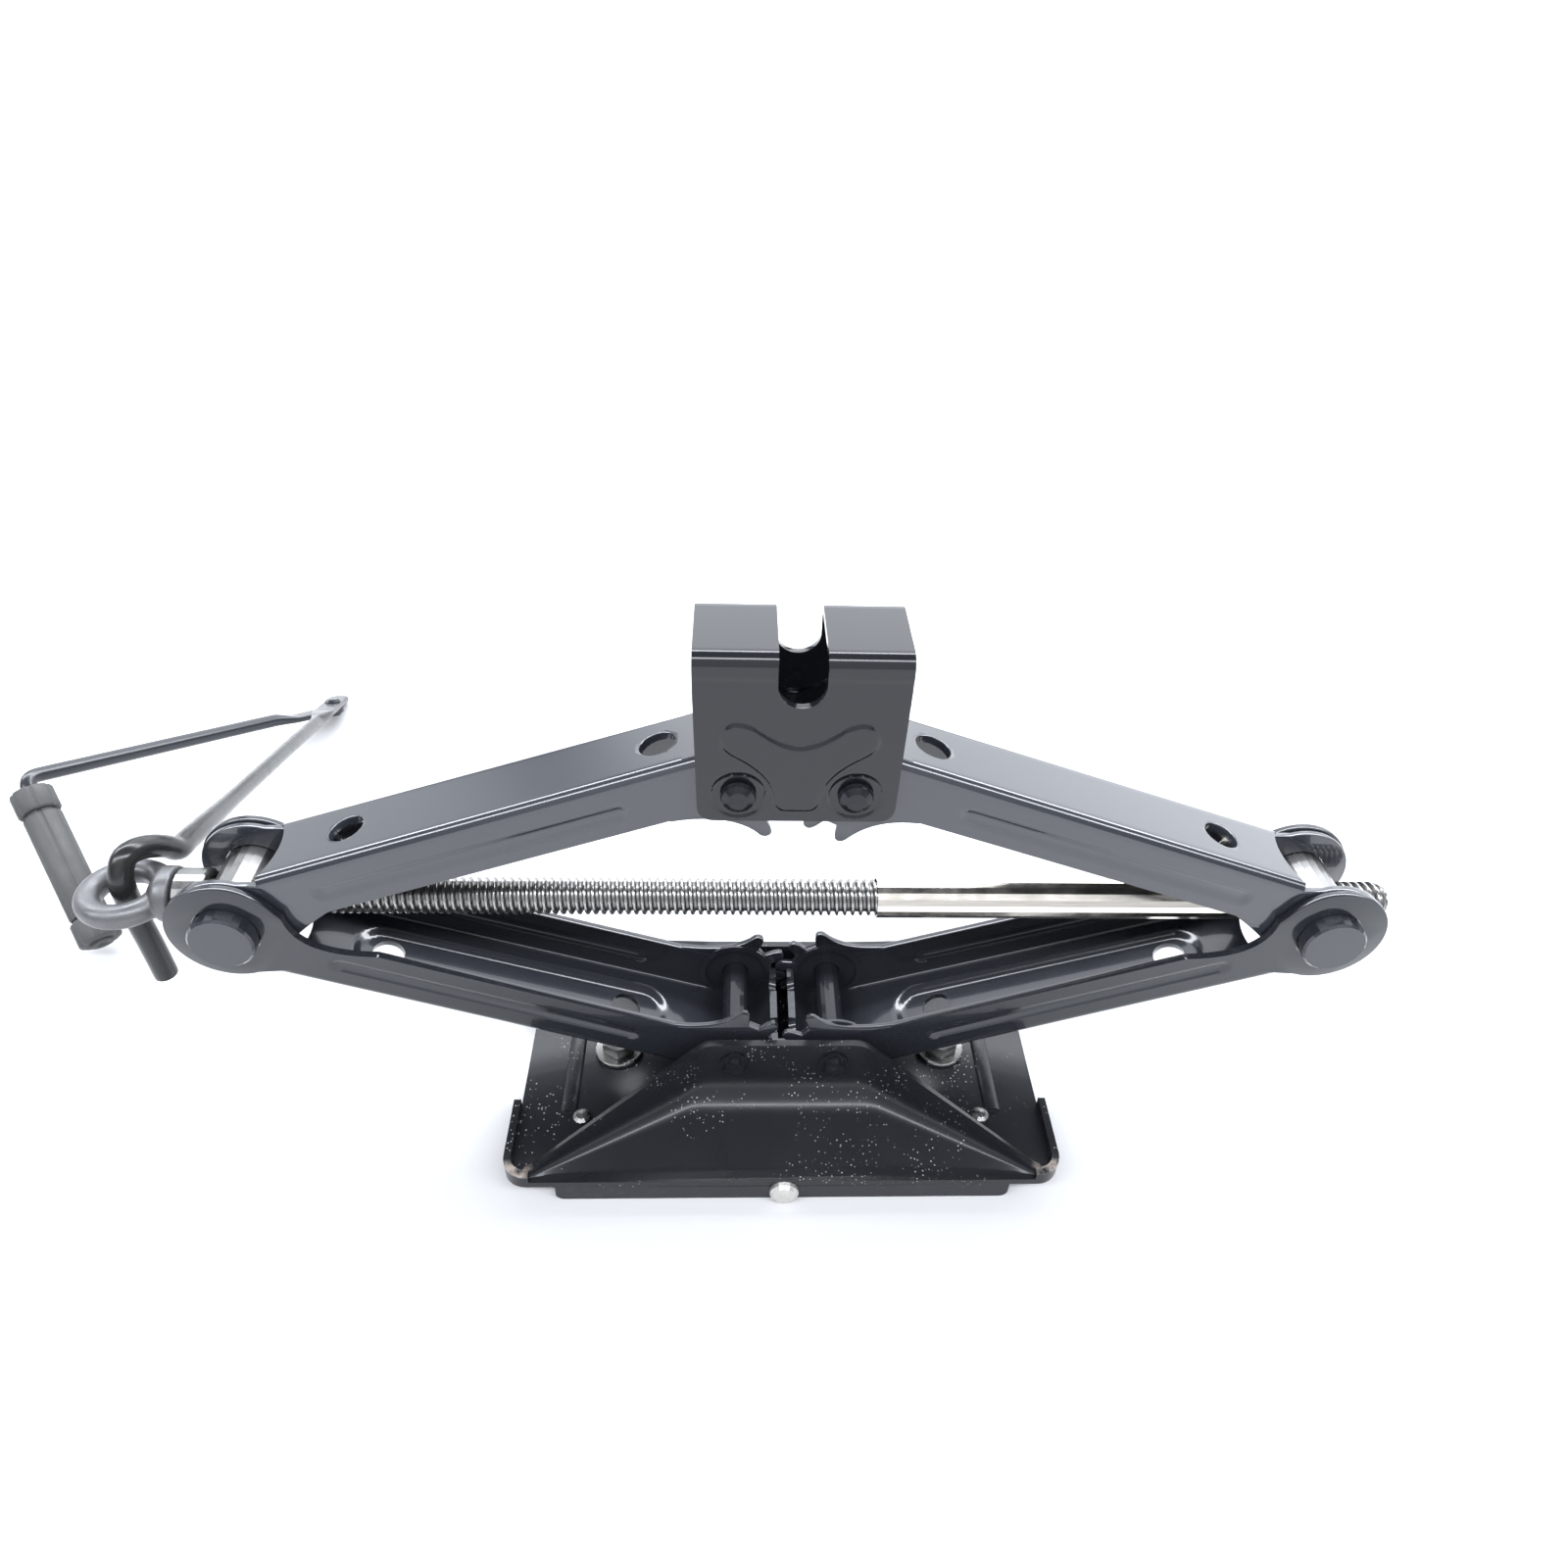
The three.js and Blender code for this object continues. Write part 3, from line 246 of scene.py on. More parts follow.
MATERIALS = {
    "paint_arm_upper": paint("paint_arm_upper", 0.024, 0.2, coat=0.8, gloss=0.45),
    # the lower arms' copy of the arm paint is darker and less glossy as painted shade
    "paint_arm_lower": paint("paint_arm_lower", 0.017, 0.16, coat=0.5, gloss=0.3),
    "paint_saddle": paint("paint_saddle", 0.009, 0.17, coat=0.5, gloss=0.2),
    "paint_base": paint("paint_base", 0.010, 0.3, coat=0.12, speckle=0.5, peel=0.06, gloss=0.3),
    "paint_plate": paint("paint_plate", 0.014, 0.32, coat=0.1, gloss=0.3),
    "paint_pin": paint("paint_pin", 0.010, 0.2, coat=0.3, gloss=0.15),
    "zinc": steel("zinc", 0.28, 0.3, (1.0, 1.0, 0.97)),
    "nickel": steel("nickel", 0.72, 0.33, (1.0, 0.98, 0.93), metallic=0.8),
    "bar_steel": steel("bar_steel", 0.34, 0.3, WARM, streak="y"),
    "trunnion": head_painted_steel("trunnion", 0.3, 0.3),
    "tube_steel": steel("tube_steel", 0.8, 0.18, (1.0, 0.94, 0.85), streak="x", wear=0.25, bump=0.03),
    "thread_steel": thread_steel("thread_steel"),
    "forged": steel("forged", 0.15, 0.42, (0.98, 0.99, 1.02), wear=0.8, bump=0.12, metallic=0.6),
    "rod_black": paint("rod_black", 0.02, 0.3, coat=0.25, gloss=0.4),
    "rod_shank": shank_steel("rod_shank"),
    "grip": plastic("grip", 0.055),
}


def dress(obj, look):
    """Gives the whole mesh one material."""
    obj.data.materials.clear()
    obj.data.materials.append(MATERIALS[look])
    obj.data.polygons.foreach_set("material_index", [0] * len(obj.data.polygons))


def soften(obj, width):
    """Clears the triangulation of flat faces and breaks the sharp edges."""
    flat = obj.modifiers.new("flat", "DECIMATE")
    flat.decimate_type = "DISSOLVE"
    flat.angle_limit = math.radians(0.5)
    edge = obj.modifiers.new("edge", "BEVEL")
    edge.width = width * MM
    edge.segments = 2
    edge.limit_method = "ANGLE"
    edge.angle_limit = math.radians(35)
    edge.harden_normals = False
    obj.data.shade_smooth()
    smooth = obj.modifiers.new("shading", "WEIGHTED_NORMAL")
    smooth.keep_sharp = True


# ---- mesh kit, in millimetres -----------------------------------------------------------------------
def new_object(name, verts, faces):
    mesh = bpy.data.meshes.new(name)
    mesh.from_pydata([(x * MM, y * MM, z * MM) for x, y, z in verts], [], faces)
    mesh.validate()
    obj = bpy.data.objects.new(name, mesh)
    bpy.context.scene.collection.objects.link(obj)
    return obj


def skin(name, rows, caps=True):
    """Closes a list of equal rings into a tube."""
    around = len(rows[0])
    verts = [point for row in rows for point in row]
    faces = []
    for start in range(0, (len(rows) - 1) * around, around):
        for i in range(around):
            after = (i + 1) % around
            faces.append((start + i, start + after, start + around + after, start + around + i))
    if caps:
        faces.append(tuple(reversed(range(around))))
        faces.append(tuple((len(rows) - 1) * around + i for i in range(around)))
    return outward(new_object(name, verts, faces))


def outward(obj):
    work = bmesh.new()
    work.from_mesh(obj.data)
    bmesh.ops.recalc_face_normals(work, faces=work.faces)
    if work.calc_volume(signed=True) < 0:
        bmesh.ops.reverse_faces(work, faces=work.faces)
    work.to_mesh(obj.data)
    work.free()
    return obj


def shade(obj, angle=32):
    """Smooth everywhere but across sharp folds."""
    obj.data.shade_smooth()
    work = bmesh.new()
    work.from_mesh(obj.data)
    for edge in work.edges:
        edge.smooth = len(edge.link_faces) == 2 and edge.calc_face_angle(0.0) < math.radians(angle)
    work.to_mesh(obj.data)
    work.free()


def settle(obj):
    """Turns the object's modifiers into plain mesh."""
    done = bpy.data.meshes.new_from_object(obj.evaluated_get(bpy.context.evaluated_depsgraph_get()))
    obj.modifiers.clear()
    obj.data = done


def combine(body, other, operation):
    change = body.modifiers.new(operation, "BOOLEAN")
    change.operation = operation
    change.solver = "MANIFOLD"
    change.object = other
    settle(body)
    bpy.data.objects.remove(other)
    return body


def inset(outline, amount):
    """The outline moved inwards; a negative amount moves it out."""
    area = sum(a[0] * b[1] - b[0] * a[1] for a, b in zip(outline, outline[1:] + outline[:1]))
    turn = 1.0 if area > 0 else -1.0
    moved = []
    for before, here, after in zip(outline[-1:] + outline[:-1], outline, outline[1:] + outline[:1]):
        normals = []
        for a, b in ((before, here), (here, after)):
            way = Vector((b[0] - a[0], b[1] - a[1]))
            normals.append(Vector((-way.y, way.x)).normalized() * turn)
        middle = normals[0] + normals[1]
        scale = amount / max(middle.length_squared / 2, 0.6)
        moved.append((here[0] + middle.x * scale, here[1] + middle.y * scale))
    return moved


def prism(name, outline, low, high, axis="y", soft=0.0):
    """Outline pushed out along an axis; the outline is in the other two axes, in order."""
    place = {"x": lambda a, b, c: (c, a, b),
             "y": lambda a, b, c: (a, c, b),
             "z": lambda a, b, c: (a, b, c)}
    levels = [(low, 0.0), (high, 0.0)]
    if soft:
        levels = [(low, soft), (low + 0.3 * soft, 0.3 * soft), (low + soft, 0.0),
                  (high - soft, 0.0), (high - 0.3 * soft, 0.3 * soft), (high, soft)]
    rows = [[place[axis](a, b, level) for a, b in inset(outline, move)] for level, move in levels]
    return skin(name, rows)


def disc(radius, sides, centre=(0, 0)):
    return [(centre[0] + radius * math.cos(math.tau * i / sides),
             centre[1] + radius * math.sin(math.tau * i / sides)) for i in range(sides)]


def lathe(name, profile, axis, centre):
    """Profile of (radius, along) turned about an axis through the centre."""
    rows = []
    for radius, along in profile:
        row = []
        for a, b in disc(radius, 48):
            x, y, z = {"x": (along, a, b), "z": (a, b, along)}[axis]
            row.append((x + centre[0], y + centre[1], z + centre[2]))
        rows.append(row)
    return skin(name, rows)


def own(obj, look, body, node, angle=32):
    """Finish, shading and place in the frame of a piece that stands for a CAD node."""
    dress(obj, look)
    shade(obj, angle)
    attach(obj, body)
    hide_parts(node)


def smooth_step(value, low, high):
    t = min(max((value - low) / (high - low), 0.0), 1.0)
    return t * t * (3 - 2 * t)


def to_segment(x, y, ax, ay, bx, by):
    """Distance from a point to the line between two points."""
    dx, dy = bx - ax, by - ay
    t = min(max(((x - ax) * dx + (y - ay) * dy) / (dx * dx + dy * dy), 0.0), 1.0)
    return math.hypot(x - ax - t * dx, y - ay - t * dy)


FOOT = 0.4                      # how far the rounded edge of a sheet stands proud


def pressed_channel(name, stations, profile, thick, displace):
    """Sheet channel: profile points are (y, z, outward y, outward z); displace gives the pressing."""
    outer, inner = [], []
    for s in stations:
        for y, z, ny, nz in profile:
            push = displace(s, y, z, ny, nz)
            outer.append((s, y + ny * push, z + nz * push))
            inner.append((s, y + ny * (push - thick), z + nz * (push - thick)))
    across, count = len(profile), len(stations)
    shift = len(outer)
    feet = []
    for s in stations:
        for y, z, ny, nz in (profile[0], profile[-1]):
            feet.append((s, y - ny * thick / 2, z - FOOT))
    faces = []
    for k in range(count - 1):
        for i in range(across - 1):
            a, b = k * across + i, (k + 1) * across + i
            faces.append((a, a + 1, b + 1, b))
            faces.append((shift + a, shift + b, shift + b + 1, shift + a + 1))
        for side, i in enumerate((0, across - 1)):
            a, b = k * across + i, (k + 1) * across + i
            c, d = (2 * shift + 2 * (k + step) + side for step in (0, 1))
            faces += [(a, b, d, c), (c, d, shift + b, shift + a)]
    for k in (0, count - 1):
        for i in range(across - 1):
            a = k * across + i
            faces.append((a, shift + a, shift + a + 1, a + 1))
        for side, i in enumerate((0, across - 1)):
            a = k * across + i
            faces.append((a, 2 * shift + 2 * k + side, shift + a))
    return outward(new_object(name, outer + inner + feet, faces))


def u_profile(half, foot, top, bend, step, turns=8):
    """Outer outline of an upside-down U from one foot over the top to the other."""
    points = []
    rise = top - bend - foot
    count = max(int(rise / step), 1)
    points += [(-half, foot + rise * i / count, -1, 0) for i in range(count)]
    for i in range(turns):
        angle = math.pi - math.pi / 2 * i / turns
        points.append((-half + bend + bend * math.cos(angle), top - bend + bend * math.sin(angle),
                       math.cos(angle), math.sin(angle)))
    flat = 2 * (half - bend)
    count = max(int(flat / step), 1)
    points += [(-half + bend + flat * i / count, top, 0, 1) for i in range(count + 1)]
    mirrored = [(-y, z, -ny, nz) for y, z, ny, nz in reversed(points[:len(points) - count - 1])]
    return points + mirrored


def spread(low, high, step):
    count = max(round((high - low) / step), 1)
    return [low + (high - low) * i / count for i in range(count + 1)]


def bezier(a, b, c, steps):
    """Quadratic curve after its first point."""
    return [tuple((1 - t) ** 2 * p + 2 * t * (1 - t) * q + t * t * r for p, q, r in zip(a, b, c))
            for t in (i / steps for i in range(1, steps + 1))]


# ---- arms -----------------------------------------------------------------------------------------
SPAN, PIN_SPACING, RISE = 400.0, 38.8, 62.8     # as in the CAD: knuckles apart, pins apart, pin to screw
REACH = (SPAN - PIN_SPACING) / 2
ARM = math.hypot(REACH, RISE)
TILT = math.atan2(RISE, REACH)
SHEET, GAP, BEND = 2.8, 0.3, 4.0
PIN_X = PIN_SPACING / 2
# half widths at the two ends, web and lip either side of the pin line, ear radius, holes in the web
UPPER = {"knuckle": 16.9, "pin": 15.3, "web": 16.3, "lip": 5.3, "ear": 20.6, "dished": False,
         "hole": 6.5, "holes_at": (51, 168)}
LOWER = {"knuckle": 20.1, "pin": 22.4, "web": 15.8, "lip": 6.4, "ear": 21.2, "dished": True,
         "hole": 6.0, "holes_at": (54, 149)}
TRUNNION_BORE, PIN_BORE = 11.9, 5.3
# gear teeth: radii, half angles of a tooth at those radii, and the angle from tooth to tooth
TEETH = {"root": 15.6, "pitch": PIN_X, "tip": 22.1,
         "at_root": 9.4, "at_pitch": 7.0, "at_tip": 3.2, "every": 36}
FIRST_TOOTH = ((1, -99), (-1, -81))     # side of the arm and angle: half a tooth out of step
GROOVE = {"from": 39.4, "to": 150.6, "up": 3.5, "deep": 1.0}
DISH = {"from": 51.5, "to": 155.5, "proud": 1.3}
CURL_TURN, CURL_OUT = 116, 1.4          # degrees that the web rolls round the pin, and how far it opens
FAR = 40                                # half length of a cutter that goes right through


def at_pin(radius, angle):
    return (ARM + radius * math.cos(math.radians(angle)), radius * math.sin(math.radians(angle)))


def arm_pressing(arm):
    def push(s, y, z, ny, nz):
        if abs(ny) > 0.99:
            off = to_segment(s, z, GROOVE["from"], GROOVE["up"], GROOVE["to"], GROOVE["up"])
            return -GROOVE["deep"] * (1 - smooth_step(off, 1.2, 3.0))
        if arm["dished"] and nz > 0.99:
            off = to_segment(s, y, DISH["from"], 0, DISH["to"], 0)
            return DISH["proud"] * (1 - smooth_step(off, 8.2, 10.8))
        return 0.0
    return push


def ear_outline(arm):
    """Round ear of a flange about the trunnion, drawn into the flange behind it."""
    points = [(arm["ear"] * math.cos(a), arm["ear"] * math.sin(a))
              for a in (math.radians(52 + 260 * i / 44) for i in range(45))]
    points += bezier(points[-1], (21, -10.4), (36, -arm["lip"]), 14)
    return points + [(36, arm["web"] - BEND), (24, arm["web"] - BEND)]


def tooth_side(centre, way):
    """Points from the root of a tooth to its tip, on the side that way says."""
    tip, half = TEETH["tip"], TEETH["at_tip"]
    return [at_pin(TEETH["root"], centre + way * TEETH["at_root"]),
            at_pin(TEETH["pitch"], centre + way * TEETH["at_pitch"]),
            at_pin(tip - 0.7, centre + way * (half + 1.6)),
            at_pin(tip, centre + way * (half - 1))]


def hub_outline(arm, first):
    """Flange round the pin with its gear teeth; first is the angle of the outermost tooth."""
    points = [at_pin(arm["web"], 90 - 66 * i / 16) for i in range(17)]
    centres = [first + k * TEETH["every"] for k in range(4) if first + k * TEETH["every"] < 15]
    for centre in reversed(centres):
        falling = tooth_side(centre, -1)[::-1]
        points += tooth_side(centre, 1) + (falling if centre != first else falling[:2])
    heel = at_pin(TEETH["tip"] - 1.2, first - TEETH["at_tip"] - 3)
    points.append(heel)
    points += bezier(heel, (heel[0] - 5.5, -arm["lip"] - 3), (ARM - 26, -arm["lip"]), 10)
    return points + [(ARM - 16, 0.0), (ARM - 16, arm["web"] - BEND),
                     (ARM - 12, arm["web"] - BEND), (ARM - 8, arm["web"])]


def curl_outline(arm):
    """End of the web, rolled up around the pin between the two flanges."""
    outer, inner = [], []
    for i in range(25):
        angle = 90 - CURL_TURN * i / 24
        radius = arm["web"] + CURL_OUT * (90 - angle) / CURL_TURN
        outer.append(at_pin(radius, angle))
        inner.insert(0, at_pin(radius - SHEET, angle))
    return [(ARM - 14, arm["web"])] + outer + inner + [(ARM - 14, arm["web"] - SHEET)]


def arm_cutters(arm):
    """Trunnion bore, pin hole and the room inside round it, flared holes of the web, curl's notches."""
    inside = arm["knuckle"] - SHEET
    cutters = [prism("bore", disc(TRUNNION_BORE, 48), -FAR, FAR),
               prism("hole", disc(PIN_BORE, 32, (ARM, 0)), -FAR, FAR),
               prism("core", disc(12.7, 48, (ARM, 0)), -inside - 0.5, inside + 0.5)]
    radius = arm["hole"]
    top = arm["web"] + (DISH["proud"] if arm["dished"] else 0)
    flare = [(0.05, 4), (radius, 4), (radius, top - 0.5), (radius + 0.15, top - 0.15),
             (radius + 0.5, top + 0.02), (radius + 0.5, 24), (0.05, 24)]
    cutters += [lathe("hole", flare, "z", (s, 0, 0)) for s in arm["holes_at"]]
    end = at_pin(arm["web"] + CURL_OUT, 90 - CURL_TURN + 2)
    for y in (-9.5, 9.5):
        cutters.append(prism("notch", disc(3.4, 24, (y, end[1])), end[0] - 8, end[0] + 4, "x"))
    return cutters


def arm_mesh(name, arm):
    """One arm along +X from its knuckle to its pin, its web on +Z."""
    half, inside = arm["knuckle"], arm["knuckle"] - SHEET
    profile = u_profile(half, FOOT - arm["lip"], arm["web"], BEND, 1.3)
    body = pressed_channel(name, spread(20, ARM - 6, 1.4), profile, SHEET, arm_pressing(arm))
    scoop = prism("scoop", disc(30, 96, (-5.6, 0)), arm["web"] - SHEET - 8, arm["web"] + 2, "z")
    keep = prism("keep", [(0, -inside), (40, -inside), (40, inside), (0, inside)], 0.5, 40, "z")
    combine(body, combine(scoop, keep, "INTERSECT"), "DIFFERENCE")
    combine(body, prism("curl", curl_outline(arm), -inside, inside), "UNION")
    for side, first in FIRST_TOOTH:
        low, high = sorted((side * inside, side * half))
        combine(body, prism("ear", ear_outline(arm), low, high, soft=0.45), "UNION")
        low, high = sorted((side * (inside + GAP), side * half))
        combine(body, prism("hub", hub_outline(arm, first), low, high, soft=0.35), "UNION")
        low, high = sorted((side * (inside - 0.5), side * (inside + 0.5)))
        combine(body, prism("tie", disc(15.3, 48, (ARM, 0)), low, high), "UNION")
    if arm["dished"]:
        # the flange dips beside the ear of a lower arm
        beside, below = (17.25, -13.8), (54, -6.8)
        neck = [beside] + bezier(beside, (25, 4.0), below, 16) + [(below[0], -16), (beside[0], -16)]
        combine(body, prism("neck", neck, -FAR, FAR), "DIFFERENCE")
    for cutter in arm_cutters(arm):
        combine(body, cutter, "DIFFERENCE")
    for vertex in body.data.vertices:
        s, y = vertex.co.x / MM, vertex.co.y / MM
        widen = (arm["pin"] - half) * min(max(s / ARM, 0.0), 1.0)
        vertex.co.y += widen * min(max(y / (half - BEND), -1.0), 1.0) * MM
    return body


def place_arm(mesh, name, side, lower, look):
    """Puts an arm between its knuckle and its pin; side is -1 on the left and 1 on the right."""
    obj = bpy.data.objects.new(name, mesh)
    bpy.context.scene.collection.objects.link(obj)
    flip = Matrix.Rotation(math.pi, 4, "X") if lower else Matrix.Identity(4)
    tilt = Matrix.Rotation(TILT if lower else -TILT, 4, "Y")
    turn = Matrix.Rotation(math.pi if side > 0 else 0.0, 4, "Z")
    move = Matrix.Translation((side * SPAN / 2 * MM, 0, SCREW_Z * MM))
    obj.data.transform(move @ turn @ tilt @ flip)
    obj.data.update()
    word = ("lower_" if lower else "upper_") + ("right" if side > 0 else "left")
    own(obj, look, word, word.replace("_", "_arm_"))


def build_arms():
    for arm, kind in ((UPPER, "upper"), (LOWER, "lower")):
        body = arm_mesh("arm_pattern", arm)
        for side, word in ((-1, "left"), (1, "right")):
            name = f"{kind}_arm_pressing_{word}"
            place_arm(body.data.copy(), name, side, kind == "lower", f"paint_arm_{kind}")
        bpy.data.objects.remove(body)


# ---- lead screw -------------------------------------------------------------------------------------
def lead_screw():
    """Journal on the left, then a single-start trapezoidal thread to the tip."""
    crest, depth, journal, core = 6.9, 1.5, 5.9, 5.4
    neck, start, end, sides = -223.4, -184.0, 228.7, 36
    rows = [[(x, y, SCREW_Z + z) for y, z in disc(journal, sides)] for x in (neck, start - 0.6)]
    rings_per_turn = 10
    count = int((end - start) / THREAD_PITCH * rings_per_turn)
    for k in range(count + 1):
        x = start + (end - start) * k / count
        row = []
        for i in range(sides):
            phase = (x / THREAD_PITCH - i / sides) % 1.0
            climb = smooth_step(abs(phase - 0.5), 0.14, 0.3)
            fade = smooth_step(x, end - 3.5, end - 0.5) * depth
            radius = min(crest - depth * climb, crest - fade)
            radius = core + (radius - core) * smooth_step(x, start - 0.5, start + 4)
            angle = math.tau * i / sides
            row.append((x, radius * math.cos(angle), SCREW_Z + radius * math.sin(angle)))
        rows.append(row)
    own(skin("screw_thread", rows), "thread_steel", "screw", "lead_screw", angle=50)


# ---- saddle -------------------------------------------------------------------------------------------
SADDLE = {"top": SCREW_Z + 116, "bottom": SCREW_Z + 52.1, "half": 18.2, "half_long": 34, "bend": 5.0,
          "sheet": 2.6, "slot_half": 7.55, "slot_floor": SCREW_Z + 97.6}
BOSS_PROUD, PIN_SEAT, JOGGLE = 0.9, 0.8, 0.35   # raised figure, dish round a pin, step below the fold
SADDLE_PIN_Z = SCREW_Z + RISE


def boss_outline():
    """Y-shaped boss in the middle of each saddle plate, as (x, z)."""
    z = SADDLE_PIN_Z
    bends = [((6.8, -5.6), (7.2, -2)), ((8.0, 9), (20.5, 16)), ((27.6, 20.5), (24.2, 26)),
             ((21.5, 30.6), (14.5, 26.8)), ((6, 19.6), (0, 19.6))]
    points = [(3.6, z - 5.8)]
    for a, b in bends:
        points += bezier(points[-1], (a[0], z + a[1]), (b[0], z + b[1]), 8)
    return points + [(-x, h) for x, h in reversed(points[:-1])]


def inside_depth(x, z, outline):
    """How far a point lies inside an outline; negative outside."""
    nearest, inside = 1e9, False
    for (ax, az), (bx, bz) in zip(outline, outline[1:] + outline[:1]):
        nearest = min(nearest, to_segment(x, z, ax, az, bx, bz)) if (ax, az) != (bx, bz) else nearest
        if (az > z) != (bz > z) and x < (bx - ax) * (z - az) / (bz - az) + ax:
            inside = not inside
    return nearest if inside else -nearest


def saddle():
    """Channel with a raised figure on each side, rounded corners, a slot across it and two pin holes."""
    top, bottom, half = SADDLE["top"], SADDLE["bottom"], SADDLE["half"]
    boss = boss_outline()

    def push(x, y, z, ny, nz):
        if abs(ny) < 0.99:
            return 0.0
        raised = BOSS_PROUD * smooth_step(inside_depth(x, z, boss), -0.7, 0.7)
        near_pin = min(math.hypot(x - side * PIN_X, z - SADDLE_PIN_Z) for side in (-1, 1))
        seat = PIN_SEAT * (1 - smooth_step(near_pin, 8.5, 9.6))
        joggle = JOGGLE * (1 - smooth_step(z, top - 9.5, top - 7.0))
        return raised - seat - joggle

    profile = u_profile(half, bottom, top, SADDLE["bend"], 0.7, 10)
    stations = spread(-SADDLE["half_long"], SADDLE["half_long"], 0.7)
    body = pressed_channel("saddle_pressing", stations, profile, SADDLE["sheet"], push)
    end = SADDLE["half_long"] + 0.01
    outline = [(-26.8, bottom - 0.01), (26.8, bottom - 0.01)]
    outline += bezier(outline[-1], (32.8, bottom), (33, bottom + 6), 10) + [(end, top - 12), (end, top + 1)]
    outline += [(-x, z) for x, z in reversed(outline[2:])]
    combine(body, prism("outline", outline, -half - 1.5, half + 1.5), "INTERSECT")
    radius = SADDLE["slot_half"]
    middle = SADDLE["slot_floor"] + radius
    round_end = [(radius * math.cos(a), middle + radius * math.sin(a))
                 for a in (-math.pi * i / 30 for i in range(31))]
    slot = [(radius, top + 2)] + round_end + [(-radius, top + 2)]
    # the slot opens by the second number at each level, so that its edges are soft
    flares = [(-half - 3, 0.5), (-half, 0.5), (-half + 0.15, 0.15), (-half + 0.5, 0),
              (half - 0.5, 0), (half - 0.15, 0.15), (half, 0.5), (half + 3, 0.5)]
    cutters = [skin("slot", [[(x, level, z) for x, z in inset(slot, -wide)] for level, wide in flares])]
    for side in (-1, 1):
        hole = disc(PIN_BORE, 36, (side * PIN_X, SADDLE_PIN_Z))
        cutters.append(prism("hole", hole, -half - 3, half + 3))
    for cutter in cutters:
        combine(body, cutter, "DIFFERENCE")
    own(body, "paint_saddle", "saddle_head", "saddle")


# ---- base pan -----------------------------------------------------------------------------------------
FLOOR_Z, FLOOR_THICK, PAN_Y, PAN_X, RIM_X = 8.4, 3.0, 62.5, 104.8, 107.4
RIM_Y, RIM_TOP = 28.0, 15.6             # where a corner rim starts, and its top
BEAD_X, BOLT_X, RIVET_X, RIVET_Y = 85.6, 68, 80, 34
# lines up the wall: share of the way up, (distance out, height) in the middle and at the end,
# lean in degrees, half length of the flat part in the middle
WALL = [(0.0, (62.5, 9.7), (62.5, 9.7), 17, 37), (0.5, (33, 18.6), (60.9, 11.6), 32, 37),
        (0.65, (27.6, 25), (60.7, 13.0), 66, 34), (1.0, (27.6, 48.4), (60.8, 16), 90, 31)]
WALL_END, END_LEAN = 99.0, 60


def wall_sample(x, v, depth):
    """(distance out, height) of the wall at x, a share v of the way up; depth 1 is its inner face."""
    k = next(i for i in range(1, len(WALL)) if WALL[i][0] >= v or i == len(WALL) - 1)
    t = (v - WALL[k - 1][0]) / (WALL[k][0] - WALL[k - 1][0])
    ends = []
    for _, middle, far, lean, flat in (WALL[k - 1], WALL[k]):
        share = min(max((abs(x) - flat) / (WALL_END - flat), 0.0), 1.0)
        angle = math.radians(lean + (END_LEAN - lean) * share)
        ends.append((middle[0] + (far[0] - middle[0]) * share - depth * SHEET * math.sin(angle),
                     middle[1] + (far[1] - middle[1]) * share - depth * SHEET * math.cos(angle)))
    return (ends[0][0] * (1 - t) + ends[1][0] * t, ends[0][1] * (1 - t) + ends[1][1] * t)


def wall_point(x, v, depth):
    """The folded wall with its folds rounded off."""
    edge = min(v, 1 - v)
    reach = min(0.045, edge)
    near = [wall_sample(x + dx, v + dv, depth) for dv in (-reach, 0, reach) for dx in (-2.5, 0, 2.5)]
    y, z = (sum(p[i] for p in near) / len(near) for i in (0, 1))
    return (x, -y, z)


def wall():
    """The front wall: outer face up, inner face down."""
    rows = [i / 40 for i in range(41)]
    rings = []
    for x in spread(-WALL_END, WALL_END, 2.0):
        rings.append([wall_point(x, v, 0) for v in rows] + [wall_point(x, v, 1) for v in reversed(rows)])
    return skin("wall", rings)


def pan_outline(inwards):
    """Outline of the pan floor with its rounded corners, or the inner outline of the corner rims."""
    x, y, radius = RIM_X - inwards, PAN_Y - inwards, 9.0 - inwards
    corner = [(x - radius + radius * math.cos(a), y - radius + radius * math.sin(a))
              for a in (math.pi / 2 * i / 12 for i in range(13))]
    step = [] if inwards else [(PAN_X, RIM_Y)]
    quarter = step + [(x, RIM_Y)] + corner
    upper = quarter + [(-a, b) for a, b in reversed(quarter)]
    return upper + [(a, -b) for a, b in reversed(upper)]


